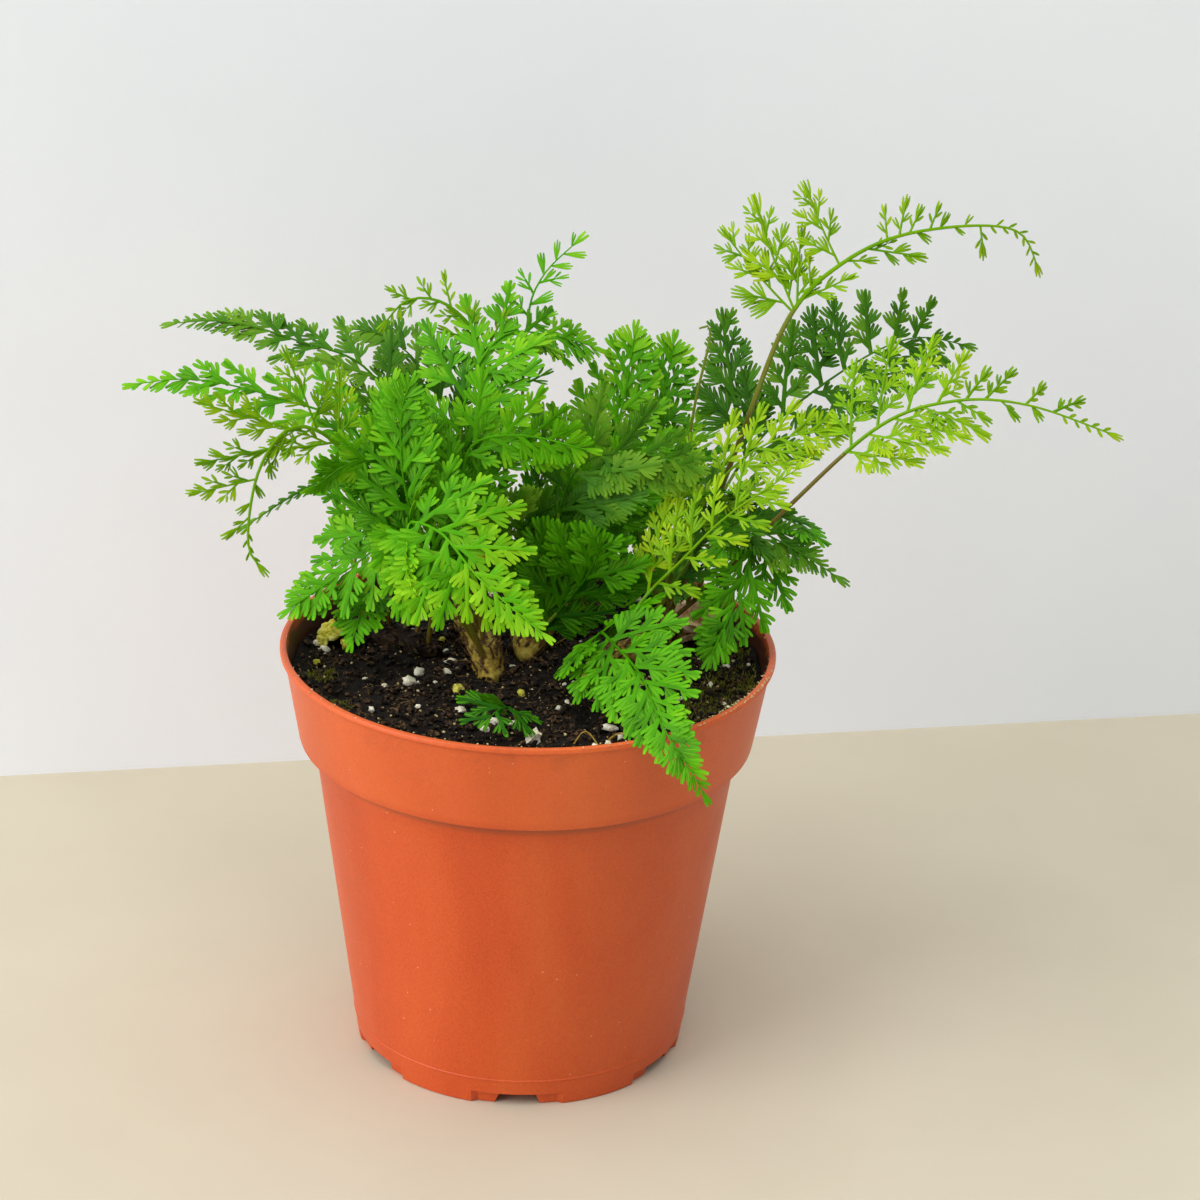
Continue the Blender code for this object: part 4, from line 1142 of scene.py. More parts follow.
    def _drill(self, pot: bpy.types.Object) -> None:
        """Cuts the round drain holes between the notches, and removes the cutters."""
        group = bpy.data.collections.new("drills")
        bpy.context.scene.collection.children.link(group)
        drills = []
        for k in range(self.notches):
            turn = math.pi * (2 * k + 1) / self.notches
            reach = (self.foot_r + self.channel_r) / 2
            bm = bmesh.new()
            bmesh.ops.create_cone(bm, cap_ends=True, segments=24, radius1=self.drain_r,
                                  radius2=self.drain_r, depth=self.floor * 4)
            spot = (reach * math.sin(turn), -reach * math.cos(turn), self.floor_rise + self.floor / 2)
            bmesh.ops.translate(bm, vec=spot, verts=bm.verts)
            bmesh.ops.scale(bm, vec=(MM, MM, MM), verts=bm.verts)
            drill = bpy.data.objects.new("drill", bake(bm, "drill"))
            group.objects.link(drill)
            drills.append(drill)
        cut = pot.modifiers.new("drain_holes", "BOOLEAN")
        cut.operand_type = "COLLECTION"
        cut.collection = group
        cut.solver = "EXACT"
        bpy.context.view_layer.update()
        shaped = pot.evaluated_get(bpy.context.evaluated_depsgraph_get())
        mesh = bpy.data.meshes.new_from_object(shaped)
        pot.modifiers.clear()
        pot.data = mesh
        mesh.set_sharp_from_angle(angle=math.radians(32.0))
        for drill in drills:
            bpy.data.objects.remove(drill)
        bpy.data.collections.remove(group)


@dataclass(frozen=True)
class Scatter:
    """A kind of lump that is strewn on the soil. Sizes are in millimetres."""

    name: str
    count: int
    least: float
    most: float
    rough: float
    sunk: float
    detail: int
    seed: int
    spread: float = 50.3


@dataclass(frozen=True)
class PeatBed:
    """The peat mix with all that lies on it. Sizes are in millimetres."""

    middle_z: float = 87.2
    front_rise: float = 2.4
    lump: float = 0.9
    edge_r: float = 51.2
    edge_bank: float = 2.5  # how much higher the peat stands where it clings to the wall
    ring_step: float = 1.25
    sides: int = 176
    seed: int = 5
    moss_patches: tuple = ((40, 12, 9), (45, -4, 7), (40, -14, 7), (46, 14, 5), (30, 24, 7), (-6, 44, 8),
                           (44, -8, 9), (34, -20, 6), (-45, -4, 4), (-41, -20, 4), (43, 0, 9))
    big_perlite: tuple = (
        (-25.5, -8.0, 3.0), (-23.6, -1.0, 2.4), (1.6, -37.5, 3.8), (-16.8, 5.5, 2.2), (-17.8, 0.0, 2.0),
        (17.6, -31.0, 2.9), (20.2, -33.8, 2.4), (-6.6, -29.2, 2.3), (-45.0, 10.0, 2.9), (-14.2, -22.0, 2.0),
        (-8.8, -33.5, 1.9), (29.5, -28.5, 2.1), (-33.0, -22.5, 1.6), (-31.0, -8.5, 1.5), (43.5, -18.5, 1.8),
        (-28.0, 34.0, 2.6), (6.0, 44.5, 2.5), (-8.5, 46.0, 2.0), (24.5, 41.0, 2.3), (-40.0, 24.0, 2.1),
    )

    def height(self, x: float, y: float) -> float:
        """Height of the settled surface, the same as the solid's: higher at the front."""
        r = math.hypot(x, y)
        lumps = math.sin(0.31 * x + 1.1) * math.cos(0.27 * y + 0.4) + 0.6 * math.sin(0.17 * (x - y) + 2.0)
        return (self.middle_z + self.front_rise * max(0.0, -y / 50.0) + self.lump * 0.6 * lumps
                - 0.8 * (r / 50.0) ** 4)

    def surface(self, x: float, y: float) -> float:
        """Height with the crumbly texture on top."""
        spot = Vector((x, y, 0.0))
        coarse = noise.fractal(spot * 0.16, 0.9, 2.1, 4)
        fine = noise.turbulence(spot * 0.55, 3, True)
        bank = self.edge_bank * max(0.0, (math.hypot(x, y) - 44.0) / 7.0) ** 1.5
        return self.height(x, y) + bank + 0.75 * coarse + 0.7 * (fine - 0.45)

    def build_bed(self, peat: bpy.types.Material) -> bpy.types.Object:
        """The body of peat: a spun section whose top is raised into crumbs.

        Args:
            peat: The soil's material.

        Returns:
            The finished piece.
        """
        rings = int(self.edge_r / self.ring_step)
        top = [(self.edge_r * (1.0 - i / rings), self.middle_z) for i in range(rings)]
        section = [(0.0, 1.55), (17.6, 1.55), (20.8, 4.75), (35.1, 4.75), (44.9, 72.4), (48.3, 75.0),
                   (self.edge_r, self.middle_z - 1.4), *top, (0.0, self.middle_z)]
        bm = bmesh.new()
        chain = [bm.verts.new((0.0, -r, z)) for r, z in section]
        edges = [bm.edges.new(pair) for pair in zip(chain, chain[1:])]
        bmesh.ops.spin(bm, geom=chain + edges, cent=(0, 0, 0), axis=(0, 0, 1), dvec=(0, 0, 0),
                       angle=2 * math.pi, steps=self.sides, use_merge=True)
        bmesh.ops.remove_doubles(bm, verts=bm.verts, dist=0.001)
        for vert in bm.verts:
            if vert.co.z > self.middle_z - 0.1:
                vert.co.z = self.surface(vert.co.x, vert.co.y)
        bmesh.ops.recalc_face_normals(bm, faces=bm.faces)
        return piece(bm, "peat_bed", (peat,), "soil", 180.0)

    def _lump(self, rough: float, detail: int, rnd: random.Random) -> bpy.types.Mesh:
        """One irregular lump, one millimetre across."""
        bm = bmesh.new()
        bmesh.ops.create_icosphere(bm, subdivisions=detail, radius=0.5)
        squash = Vector((rnd.uniform(0.7, 1.2), rnd.uniform(0.7, 1.1), rnd.uniform(0.55, 0.9)))
        shift = Vector((rnd.uniform(0, 50), rnd.uniform(0, 50), 0.0))
        for vert in bm.verts:
            swell = 1.0 + rough * noise.noise(vert.co * 3.2 + shift)
            vert.co = Vector((vert.co.x * squash.x, vert.co.y * squash.y, vert.co.z * squash.z)) * swell
        return bake(bm, "lump")

    def strew(self, kind: Scatter, material: bpy.types.Material, spots: Sequence[tuple] = ()) -> None:
        """Strews lumps over the soil, as one piece.

        Args:
            kind: How many, how big and how deep.
            material: Their material.
            spots: Chosen places, as (x, y, size), ahead of the random ones.
        """
        rnd = random.Random(kind.seed)
        shapes = [self._lump(kind.rough, kind.detail, rnd) for _ in range(6)]
        places = list(spots)
        while len(places) < kind.count + len(spots):
            r = kind.spread * math.sqrt(rnd.random())
            turn = rnd.uniform(0, 2 * math.pi)
            size = kind.least + (kind.most - kind.least) * rnd.random() ** 2.2
            places.append((r * math.cos(turn), r * math.sin(turn), size))
        bm = bmesh.new()
        batch = bmesh.new()
        for n, (x, y, size) in enumerate(places):
            reach = self.edge_r - 0.6 * size
            r = math.hypot(x, y)
            if r > reach:
                x, y = x * reach / r, y * reach / r
            at = Vector((x, y, self.surface(x, y) + size * (0.35 - kind.sunk)))
            turn = Matrix.Rotation(rnd.uniform(0, 6.3), 4, "Z") @ Matrix.Rotation(rnd.uniform(-0.6, 0.6), 4, "X")
            stamp(batch, rnd.choice(shapes), Matrix.Translation(at) @ turn @ Matrix.Scale(size, 4))
            if n % 100 == 99 or n == len(places) - 1:
                mesh = bake(batch, "batch")
                bm.from_mesh(mesh)
                bpy.data.meshes.remove(mesh)
                batch = bmesh.new()
        batch.free()
        piece(bm, kind.name, (material,), None, 60.0)

    def build_fibres(self, fibre: bpy.types.Material, count: int = 130) -> None:
        """Short dry fibres and bits of bark, half sunk in the peat."""
        rnd = random.Random(self.seed + 1)
        bm = bmesh.new()
        for _ in range(count):
            r, turn = 49.5 * math.sqrt(rnd.random()), rnd.uniform(0, 2 * math.pi)
            x, y = r * math.cos(turn), r * math.sin(turn)
            length = rnd.uniform(1.5, 6.5)
            way = rnd.uniform(0, 2 * math.pi)
            points = []
            for k in range(4):
                way += rnd.uniform(-0.5, 0.5)
                x += math.cos(way) * length / 3
                y += math.sin(way) * length / 3
                if math.hypot(x, y) > 49.8:
                    break
                points.append((x, y, self.surface(x, y) + 0.15 + 0.35 * math.sin(k)))
            if len(points) < 3:
                continue
            stops = Route(points, (0, 0, 1)).stops(length / 3)
            sweep(bm, stops, [rnd.uniform(0.07, 0.15)] * len(stops), 4)
        piece(bm, "soil_fibres", (fibre,), None, 60.0)

    def lay_roots(self, root: bpy.types.Material, lines: Sequence[tuple]) -> None:
        """Thin bare roots that curl over the peat, along listed lines."""
        bm = bmesh.new()
        for radius, *points in lines:
            stops = Route(points, (0, 0, 1)).stops(0.9)
            last = len(stops) - 1
            sweep(bm, stops, [radius * (1.0 - 0.45 * i / last) for i in range(last + 1)], 5)
        piece(bm, "root_threads", (root,), None, 60.0)

    def dust_lip(self, grit: bpy.types.Material, count: int = 190) -> None:
        """Fine grit that clings to the top of the lip, most of it at the front right."""
        rnd = random.Random(self.seed + 3)
        grain = self._lump(0.6, 1, rnd)
        bm = bmesh.new()
        for n in range(count):
            turn = math.radians(rnd.gauss(-32, 16) if n % 3 else rnd.uniform(-180, 180))
            r = rnd.choice((52.6, 53.7)) + rnd.uniform(-0.35, 0.2)
            at = Matrix.Translation((r * math.cos(turn), r * math.sin(turn), 94.5))
            stamp(bm, grain, at @ Matrix.Rotation(rnd.uniform(0, 6.3), 4, "Z")
                  @ Matrix.Scale(rnd.uniform(0.2, 0.55), 4))
        piece(bm, "lip_grit", (grit,), None, 60.0)

    def build_moss(self, moss: bpy.types.Material, tufts: int = 2600) -> None:
        """Low cushions of moss, as small leaning spikes in a few patches."""
        rnd = random.Random(self.seed + 2)
        bm = bmesh.new()
        bmesh.ops.create_cone(bm, cap_ends=True, segments=4, radius1=0.32, radius2=0.05, depth=1.5)
        bmesh.ops.translate(bm, vec=(0, 0, 0.6), verts=bm.verts)
        spike = bake(bm, "spike")
        bm = bmesh.new()
        for _ in range(tufts):
            px, py, size = rnd.choice(self.moss_patches)
            r, turn = size * math.sqrt(rnd.random()), rnd.uniform(0, 2 * math.pi)
            x, y = px + r * math.cos(turn), py + r * math.sin(turn)
            if math.hypot(x, y) > 50.2:
                continue
            lean = Matrix.Rotation(rnd.uniform(0, 6.3), 4, "Z") @ Matrix.Rotation(rnd.uniform(0, 0.9), 4, "X")
            at = Matrix.Translation((x, y, self.surface(x, y)))
            stamp(bm, spike, at @ lean @ Matrix.Scale(rnd.uniform(0.3, 0.8), 4))
        piece(bm, "moss", (moss,), None, 60.0)


@dataclass(frozen=True)
class Studio:
    """Camera, lights, table and wall."""

    camera_at: tuple = (0.0, -0.797, 0.447)
    yaw: float = 0.0192
    pitch: float = 0.405
    roll: float = 0.0322
    lens: float = 120.0
    wall_y: float = 0.146
    wall_turn_deg: float = 10.1

    def place_camera(self) -> None:
        """A long lens from in front and above, as the photograph was taken."""
        sy, cy = math.sin(self.yaw), math.cos(self.yaw)
        sp, cp = math.sin(self.pitch), math.cos(self.pitch)
        forward = Vector((sy * cp, cy * cp, -sp))
        right = Vector((cy, -sy, 0.0))
        up = right.cross(forward)
        sr, cr = math.sin(self.roll), math.cos(self.roll)
        turned_right = cr * right + sr * up
        turned_up = -sr * right + cr * up
        data = bpy.data.cameras.new("camera")
        data.lens = self.lens
        data.sensor_width = 36.0
        data.clip_start = 0.01
        camera = bpy.data.objects.new("camera", data)
        matrix = Matrix((turned_right, turned_up, -forward)).transposed().to_4x4()
        matrix.translation = Vector(self.camera_at)
        camera.matrix_world = matrix
        bpy.context.scene.collection.objects.link(camera)
        bpy.context.scene.camera = camera

    def _panel(self, name: str, corners: Sequence[tuple], material: bpy.types.Material) -> None:
        """A flat stage panel."""
        bm = bmesh.new()
        bm.faces.new([bm.verts.new(under_band_shade) for under_band_shade in corners])
        obj = bpy.data.objects.new(name, bake(bm, name))
        obj.data.materials.append(material)
        bpy.context.scene.collection.objects.link(obj)

    def build_set(self, table: bpy.types.Material, wall: bpy.types.Material) -> None:
        """The table top, and the wall that stands a little askew behind it."""
        slope = math.tan(math.radians(self.wall_turn_deg))
        low, high = self.wall_y - 2.0 * slope, self.wall_y + 2.0 * slope
        self._panel("table", ((-2, -2.2, 0), (2, -2.2, 0), (2, high, 0), (-2, low, 0)), table)
        self._panel("wall", ((-2, low, 0), (2, high, 0), (2, high, 2.2), (-2, low, 2.2)), wall)

    def _area(self, name: str, at: tuple, size: float, watts: float, colour: str) -> None:
        """A square softbox that looks at the plant."""
        data = bpy.data.lights.new(name, "AREA")
        data.shape = "SQUARE"
        data.size = size
        data.energy = watts
        data.color = hex_linear(colour)[:3]
        lamp = bpy.data.objects.new(name, data)
        lamp.location = at
        lamp.rotation_euler = (Vector((0, 0, 0.1)) - Vector(at)).to_track_quat("-Z", "Y").to_euler()
        bpy.context.scene.collection.objects.link(lamp)

    def light(self) -> None:
        """A large low window on the left, a wide light above and a pale room."""
        self._area("key", (-2.4, -1.25, 1.15), 2.3, 66.0, "FBFCFF")
        self._area("top", (-0.1, -0.7, 2.1), 2.4, 37.0, "FAFCFF")
        world = bpy.data.worlds.new("room")
        world.use_nodes = True
        back = world.node_tree.nodes["Background"]
        back.inputs["Color"].default_value = hex_linear("ECF1F8")
        back.inputs["Strength"].default_value = 0.36
        bpy.context.scene.world = world
        bpy.context.scene.view_settings.view_transform = "Standard"


RHIZOMES = (
    Rhizome("rhizome_left", ((-45, 17, 88), (-38, 17, 89), (-29, 14, 89), (-21, 9, 88)), 3.4, 1, buried=True),
    Rhizome("rhizome_mid", ((-8, -4, 87), (-9, 4, 89), (-11, 15, 89), (-14, 27, 89), (-13, 39, 87)), 3.9, 2,
            scale_length=5.0, scale_width=0.7, scale_rows=6),
    Rhizome("rhizome_core", ((-1, 8, 88), (1, 17, 89), (5, 28, 89), (13, 37, 87)), 4.2, 3),
    Rhizome("rhizome_right", ((13, -3, 87), (19, 5, 89), (27, 13, 89), (33, 22, 89), (36, 31, 88)), 3.7, 4,
            husk=15.0, crown=(38.4, 21.6, 91.0)),
)

G, D, L = LeafKind.GREEN, LeafKind.DARK, LeafKind.LIME
FRONDS = (
    Frond("frond_front_left", "rhizome_mid", 0.10,
          ((-17, -5, 110), (-26, -11, 126), (-19, -17, 127), (-10, -26, 120), (5, -36, 111)),
          0.42, 18, (-0.2, -0.7, 0.7), G, taper=0.95, droop=0.28, tone=0.09,
          branches=((0.46, 1, 15, 90), (0.48, -1, 13, 60), (0.50, 1, 19, 95), (0.54, 1, 20, 86),
                    (0.545, -1, 17, 62), (0.58, 1, 20, 76), (0.60, -1, 18, 60), (0.635, 1, 18, 66),
                    (0.66, -1, 16, 54), (0.69, 1, 15, 56))),
    Frond("frond_front_right", "rhizome_right", 0.02,
          ((15, -9, 101), (18, -18, 103), (24, -33, 102), (28, -48, 98), (34, -57, 92), (38, -58, 85)),
          0.15, 18, (-0.4, -0.5, 0.8), G, taper=0.95, tone=-0.17, open=1.08,
          branches=((0.15, 1, 15, 78), (0.16, -1, 16, 92), (0.215, 1, 17, 66), (0.225, -1, 17, 78),
                    (0.29, 1, 16, 58), (0.305, -1, 17, 62))),
    Frond("frond_low_left", "rhizome_left", 0.95,
          ((-21, 4, 110), (-27, -1, 122), (-36, -6, 116), (-53, -14, 106)),
          0.44, 16, (-0.1, -0.6, 0.8), G, tone=-0.1, skirt=0.12),
    Frond("frond_left_arching", "rhizome_left", 0.55,
          ((-31, 5, 118), (-41, 0, 139), (-51, -4, 145), (-58, -7, 136), (-60, -11, 121), (-56, -13, 115)),
          0.52, 4, (-0.3, -0.9, 0.4), L, 40, 0.15, 0.6, 1.6, -0.12, simple_below=5.0, open=1.15, slender=1.25,
          ragged=0.2,
          branches=((0.54, 1, 16, 46), (0.55, -1, 14, 48), (0.60, 1, 18, 44), (0.61, -1, 13, 46),
                    (0.66, 1, 20, 38), (0.665, -1, 10, 44), (0.72, 1, 15, 48), (0.73, -1, 6, 40),
                    (0.79, 1, 14, 64), (0.80, -1, 4, 40), (0.84, 1, 4, 40), (0.87, 1, 6.5, 40)),
          blade_radius=0.46, tip_radius=0.26),
    Frond("frond_left_light", "rhizome_left", 0.30,
          ((-33, 9, 118), (-38, 7, 140), (-54, 5, 148), (-72, 2, 153), (-87, 0, 152)),
          0.38, 15, (0, -0.55, 0.85), G, 40, taper=0.85, pitch=1.75, ragged=0.14, skirt=0.08),
    Frond("frond_left_dark", "rhizome_left", 0.70,
          ((-25, 19, 118), (-35, 25, 146), (-53, 29, 153), (-68, 31, 156), (-82, 34, 154)),
          0.40, 14, (0, -0.5, 0.85), D, 44, taper=0.95, pitch=1.25, tone=0.1, skirt=0.1),
    Frond("frond_back_left_dark", "rhizome_mid", 0.72,
          ((-14, 32, 116), (-23, 38, 140), (-33, 43, 149), (-44, 46, 150)),
          0.44, 13, (0, -0.5, 0.85), D, skirt=0.1),
    Frond("frond_tall_right", "rhizome_right", 0.56,
          ((36, 14, 110), (45, 15, 138), (54, 16, 165), (65, 16, 178), (80, 17, 185), (101, 18, 186),
           (108, 18, 176)),
          0.556, 10, (-0.1, -1, 0.3), L, 52, 0.06, 1.5, 2.2, simple_below=5.0, open=1.15, slender=1.2,
          ragged=0.3,
          branches=((0.556, -1, 23, 78), (0.560, -1, 25, 57), (0.568, -1, 16, 34), (0.578, 1, 12, 28),
                    (0.60, -1, 7, 50), (0.654, -1, 19, 82), (0.665, 1, 6, 34), (0.70, 1, 12, 36),
                    (0.732, -1, 7, 78), (0.75, -1, 8, 66), (0.765, -1, 6, 54), (0.775, 1, 4, 40),
                    (0.795, -1, 5.5, 62), (0.81, -1, 4, 50), (0.83, 1, 3, 40), (0.845, -1, 3, 50),
                    (0.868, 1, 6.5, 84)),
          stalk_tones=(0.1, 0.5), stem_radius=0.7, blade_radius=0.52, tip_radius=0.2),
    Frond("frond_long_right", "rhizome_right", 0.30,
          ((37, 2, 106), (55, 0, 128), (73, -3, 148), (88, -5, 155), (104, -6, 155), (124, -8, 149)),
          0.52, 10, (0, -0.6, 0.8), L, 52, 0.14, 1.5, 2.0, simple_below=5.0, ragged=0.25,
          branches=((0.53, 1, 17, 46), (0.54, -1, 20, 62), (0.575, 1, 18, 44), (0.595, -1, 21, 60),
                    (0.625, 1, 17, 42), (0.65, -1, 18, 60), (0.675, 1, 15, 36), (0.70, -1, 14, 58),
                    (0.73, 1, 8, 40), (0.745, -1, 9, 54), (0.775, -1, 10, 50), (0.80, 1, 5, 40),
                    (0.84, -1, 7, 60), (0.85, 1, 4, 40), (0.885, -1, 8, 46)),
          stalk_tones=(0.05, 0.3), blade_radius=0.5, tip_radius=0.2),
    Frond("frond_right_lime", "rhizome_right", 0.12,
          ((24, -5, 107), (32, -8, 118), (42, -12, 131), (58, -16, 145)),
          0.34, 7, (-0.2, -0.8, 0.6), L, 44, 0.2, 0.6, 1.2, tone=0.04, simple_below=7.5, ragged=0.2,
          branches=((0.33, -1, 20, 36), (0.38, 1, 9, 50), (0.43, -1, 15, 48), (0.50, 1, 9, 44),
                    (0.53, -1, 13, 50), (0.60, 1, 9, 46), (0.63, -1, 11, 50), (0.70, 1, 9, 48),
                    (0.73, -1, 10, 50), (0.79, 1, 8, 44)), stalk_tones=(0.75, 1.0)),
    Frond("frond_young_hooked", "rhizome_mid", 0.52,
          ((-6, 19, 124), (-9, 21, 147), (-13, 21, 158), (-20, 21, 165), (-28, 22, 165), (-34, 22, 158)),
          0.58, 8, (0, -0.9, 0.4), L, 52, taper=0.5, pitch=1.7, tone=-0.2, simple_below=6.0, slender=1.2,
          ragged=0.3, stalk_tones=(0.5, 1.0), stem_radius=0.72, blade_radius=0.56, tip_radius=0.2),
    Frond("frond_young_upright", "rhizome_core", 0.62,
          ((-2, 25, 130), (-2, 29, 157), (1, 31, 168), (10, 34, 177)),
          0.60, 7, (-0.2, -1, 0.2), G, 60, 0.3, 0.35, 1.7, simple_below=9.0, slender=1.8, ragged=0.15),
    Frond("frond_back_right_dark", "rhizome_right", 0.90,
          ((39, 25, 113), (50, 30, 132), (67, 35, 146), (83, 40, 153), (98, 44, 150)),
          0.36, 13, (0, -0.85, 0.5), D, 50, 0.06, 0.9, 1.0, simple_below=5.0,
          branches=((0.41, -1, 31, 50), (0.43, 1, 14, 60), (0.46, -1, 15, 62), (0.526, -1, 20, 46),
                    (0.54, 1, 14, 60), (0.61, 1, 14, 58), (0.63, -1, 17, 66), (0.69, -1, 16, 72),
                    (0.70, 1, 14, 56), (0.755, -1, 14, 70), (0.765, 1, 12, 54), (0.81, -1, 12, 60),
                    (0.82, 1, 10, 50), (0.855, -1, 10, 54), (0.865, 1, 8.5, 48))),
    Frond("frond_centre_light", "rhizome_mid", 0.26,
          ((-13, 3, 118), (-14, 2, 138), (-3, 0, 143), (14, -4, 141)),
          0.48, 17, (0, -0.8, 0.6), G, 54, 0.2, tone=-0.06, skirt=0.12),
    Frond("frond_centre_dark", "rhizome_core", 0.08,
          ((5, 7, 118), (10, 3, 135), (22, -1, 140), (37, -6, 138)),
          0.44, 19, (0, -0.8, 0.6), D, 54, 0.15, skirt=0.14),
    Frond("frond_left_upright", "rhizome_mid", 0.18,
          ((-20, -2, 110), (-27, -5, 132), (-28, -3, 149), (-25, -2, 157)),
          0.38, 17, (-0.2, -1, 0.3), G, tone=-0.18, skirt=0.12),
    Frond("frond_left_middle", "rhizome_mid", 0.34,
          ((-20, 8, 112), (-27, 3, 131), (-37, -4, 138), (-48, -12, 133)),
          0.40, 17, (-0.2, -0.8, 0.6), G, tone=-0.12, skirt=0.14),
    Frond("frond_left_back_green", "rhizome_left", 0.10,
          ((-38, 16, 110), (-36, 17, 130), (-30, 22, 149)),
          0.38, 15, (-0.3, -0.9, 0.4), G, skirt=0.14),
    Frond("frond_top_left", "rhizome_mid", 0.40,
          ((-15, 12, 120), (-15, 13, 145), (-8, 19, 158), (3, 25, 157), (15, 30, 152)),
          0.50, 18, (0, -0.7, 0.7), G, skirt=0.14),
    Frond("frond_top_middle", "rhizome_core", 0.45,
          ((12, 22, 115), (19, 28, 138), (22, 35, 157)),
          0.38, 19, (0, -1, 0.3), G, skirt=0.24),
    Frond("frond_top_right", "rhizome_right", 0.70,
          ((24, 26, 112), (28, 34, 136), (31, 41, 153)),
          0.38, 18, (0.1, -1, 0.3), G, skirt=0.28),
    Frond("frond_right_small", "rhizome_right", 0.46,
          ((32, 8, 112), (40, 7, 130), (51, 5, 141), (68, 2, 146)),
          0.44, 16, (0, -0.6, 0.8), L, skirt=0.10, fullness=1.1),
    Frond("frond_right_low_dark", "rhizome_right", 0.38,
          ((32, 5, 108), (41, 3, 123), (54, -3, 121), (68, -8, 114)),
          0.40, 16, (0.1, -0.7, 0.7), D, 44, taper=1.25, skirt=0.16),
    Frond("frond_right_hanging", "rhizome_right", 0.97,
          ((42, 21, 112), (48, 9, 124), (46, -5, 113), (38, -18, 98)),
          0.44, 15, (0.2, -0.9, 0.3), G, 40, 0.2, tone=-0.2, skirt=0.06, fullness=1.4),
    Frond("frond_centre_deep", "rhizome_core", 0.22,
          ((1, 9, 110), (-2, 1, 122), (-5, -6, 132)),
          0.30, 17, (0, -1, 0.3), D, skirt=0.12, fullness=1.2),
    Frond("frond_centre_low", "rhizome_core", 0.15,
          ((9, 4, 104), (13, -2, 113), (16, -8, 124)),
          0.28, 18, (0.1, -1, 0.3), G, tone=-0.32, skirt=0.14, fullness=1.25),
    Frond("frond_centre_green", "rhizome_core", 0.32,
          ((8, 14, 112), (15, 12, 126), (22, 12, 138)),
          0.34, 17, (0, -1, 0.4), G, tone=-0.15, skirt=0.24, fullness=1.25),
    Frond("frond_left_thin", "rhizome_left", 0.84,
          ((-25, 13, 112), (-33, 11, 125), (-47, 8, 127), (-63, 4, 118)),
          0.58, 3.0, (0, -0.3, 1), D, 30, taper=0.4),
    Frond("frond_left_soil", "rhizome_left", 0.45,
          ((-32, 6, 102), (-35, -4, 106), (-38, -20, 101)),
          0.42, 9, (0, -0.5, 0.8), G, tone=-0.14, simple_below=6.0, skirt=0.16),
    Frond("frond_front_seedling", "soil", 0.0,
          ((-3, -31, 93), (-6, -36, 95), (-9, -42, 94)),
          0.30, 6, (0, -0.5, 0.8), G, 58, pitch=1.5, tone=-0.4, simple_below=6.0, open=1.4,
          branches=((0.34, 1, 13, 112), (0.46, -1, 9, 76), (0.60, 1, 9, 60), (0.72, -1, 6, 54),
                    (0.82, 1, 6, 46))),
    Frond("frond_back_middle", "rhizome_core", 0.85,
          ((12, 42, 108), (14, 52, 122), (10, 66, 124)),
          0.34, 18, (0, 0.5, 0.8), D, skirt=0.14),
    Frond("frond_back_left", "rhizome_mid", 0.92,
          ((-16, 43, 108), (-22, 52, 120), (-30, 64, 122)),
          0.36, 17, (-0.1, 0.4, 0.9), G, skirt=0.14),
    Frond("frond_back_right", "rhizome_right", 0.78,
          ((30, 33, 108), (34, 44, 122), (36, 60, 126)),
          0.36, 17, (0.1, 0.4, 0.9), G, skirt=0.14),
)
SEEDLING_FOOT = Vector((-1.0, -29.0, 86.0))
BARE_STEM = ("rhizome_right", 0.64, ((33, 22, 120), (35, 24, 141), (38, 26, 158), (35.5, 26, 159)))
LEAVES = {
    G: LeafTissue("living_leaf_green", "266600", "5CB200", "AEE41E", "94D034"),
    D: LeafTissue("living_leaf_dark", "164404", "44800A", "8CBA28", "6BA23A"),
    L: LeafTissue("living_leaf_lime", "3E8600", "84B600", "CCDC14", "C0DA34", through=0.2),
}


def build_stem(skin: bpy.types.Material, beds: dict[str, Rhizome]) -> None:
    """The bare stem that has lost its leaf, with a hooked end."""
    bed, along, route = BARE_STEM
    stops = Route([beds[bed].foot(along), *route], (0, -1, 0)).stops(2.0)
    bm = leaf_bmesh()
    shares = [i / len(stops) for i in range(len(stops))]
    sweep(bm, stops, [0.5 - 0.25 * share for share in shares], 6, 0, [0.3 + 0.3 * s for s in shares])
    bmesh.ops.recalc_face_normals(bm, faces=bm.faces)
    piece(bm, "bare_stem", (skin,), "stem_bare")


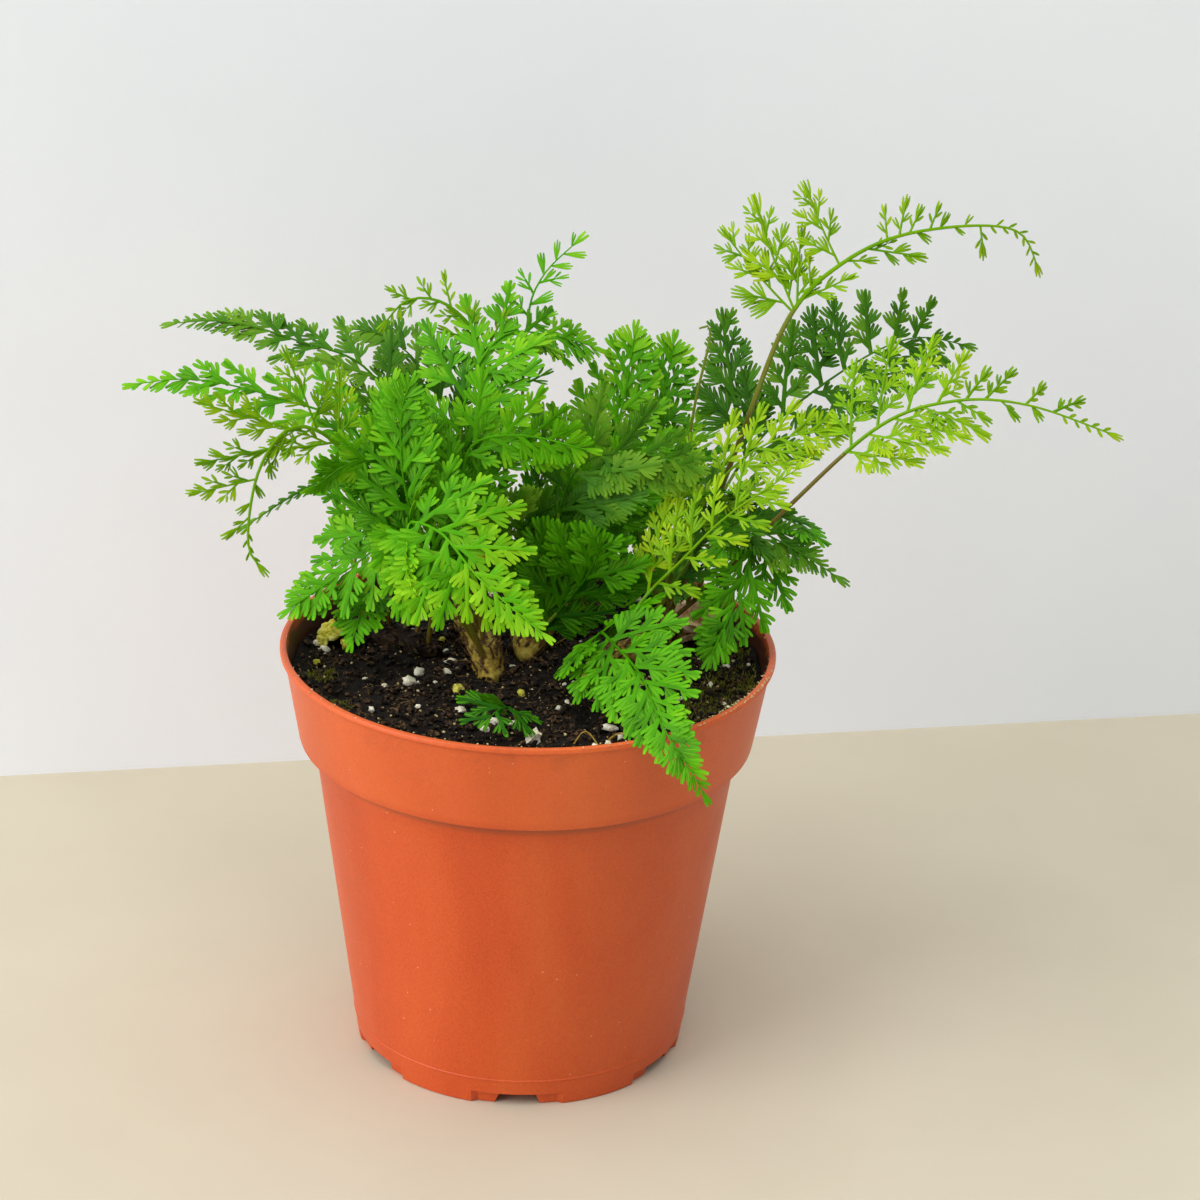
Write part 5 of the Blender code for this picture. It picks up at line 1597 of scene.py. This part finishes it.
def main() -> None:
    """Builds the sub-assemblies in order and reports each piece."""
    logging.basicConfig(level=logging.INFO, format="%(name)s %(message)s")
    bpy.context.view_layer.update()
    studio = Studio()
    studio.place_camera()
    studio.build_set(StudioPaint("painted_table_top", "D0C6AE", "CBC0A8").material(),
                     StudioPaint("painted_wall", "F5F9FC", "F2F6FA", 0.9).material())
    studio.light()

    NurseryPot().build(MouldedPolypropylene().material())
    bed = PeatBed()
    peat = GroundMatter("damp_peat", "060403", "150E08", "3A2A18", 0.9, 0.5)
    bed.build_bed(peat.material())
    crumb = GroundMatter("peat_crumbs", "050302", "1B120A", "80603C", 0.7, 0.3, light_share=0.7)
    bed.strew(Scatter("peat_crumbs", 4300, 0.5, 2.2, 1.0, 0.1, 1, 21), crumb.material())
    perlite = GroundMatter("expanded_perlite", "DCC89A", "FFF6DA", "FFFFF2", 0.5, 0.2, 0.8)
    bed.strew(Scatter("perlite_grains", 60, 0.7, 1.9, 0.7, 0.05, 2, 22), perlite.material(),
              bed.big_perlite)
    grit = GroundMatter("pale_grit", "80683C", "CDB47C", "F2E6BC", 0.5, 0.1, 0.8)
    bed.strew(Scatter("pale_grit", 950, 0.22, 0.8, 0.6, 0.0, 1, 23), grit.material())
    bed.dust_lip(grit.material())
    nodule = GroundMatter("mossy_nodule", "727414", "D2C840", "F2EA98", 0.8, 0.25)
    bed.strew(Scatter("mossy_nodule", 0, 1.0, 1.0, 0.5, -0.12, 3, 25), nodule.material(),
              ((-43.7, 15.4, 6.0), (-40.2, 13.0, 3.4), (-45.5, 12.2, 3.0), (-14.7, -12.1, 2.6), (-27.4, 16.1, 2.2),
                (-19.2, 14.9, 1.6), (-46.2, 3.0, 1.6), (-1.3, -12.3, 1.8)))
    bed.lay_roots(GroundMatter("bare_root", "6A4E18", "A88634", "CDB364", 1.0, 0.1, 0.7).material(), (
        (0.24, (11.6, 8.2, 106), (12.4, 7.4, 104), (11.6, 10.0, 100.5), (13.2, 10.6, 97), (12.2, 10.6, 94),
         (8.8, 12.4, 91), (6.0, 13.6, 88.5)),
        (0.24, (9.6, -38.4, 88.0), (12.4, -37.6, 91.4), (15.6, -39.2, 88.4)),
        (0.24, (17.4, -37.6, 89.6), (19.4, -39.6, 92.0), (21.6, -44.0, 93.6), (23.2, -47.6, 95.0),
         (24.0, -48.6, 94.9)),
    ))
    bed.build_fibres(GroundMatter("dry_fibre", "2E2010", "5E4426", "9A7C4C", 0.8, 0.1).material())
    bed.build_moss(GroundMatter("moss_cushion", "34380A", "6E701E", "A89C44", 1.2, 0.2).material())

    bark = GroundMatter("rhizome_skin", "4E3A10", "A0852E", "D6C262", 1.4, 0.2, 0.75).material()
    scale = GroundMatter("papery_scales", "1C0F06", "4A3014", "9A7A44", 0.7, 0.1, 0.8).material()
    dry = GroundMatter("dried_husk", "CC9458", "FFDCAC", "FFF2DC", 0.9, 0.1, 0.8).material()
    beds = {rhizome.name: rhizome for rhizome in RHIZOMES}
    peaty = GroundMatter("peaty_rhizome_skin", "0E0804", "26190D", "544022", 1.2, 0.25).material()
    for rhizome in RHIZOMES:
        rhizome.build(peaty if rhizome.buried else bark, peaty if rhizome.buried else scale, dry)

    skin = StipeSkin("leaf_stalk_skin", "63401C", "6C6A16", "74AE28").material()
    build_stem(skin, beds)
    stocks = {kind: SegmentStock(kind, HABITS[kind].cut) for kind in LeafKind}
    leaves = {kind: LEAVES[kind].material() for kind in LeafKind}
    for frond in FRONDS:
        foot = SEEDLING_FOOT if frond.bed == "soil" else beds[frond.bed].foot(frond.along)
        frond.build(foot, stocks[frond.kind], leaves[frond.kind], skin)

    bpy.context.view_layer.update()


if __name__ == "__main__":
    main()
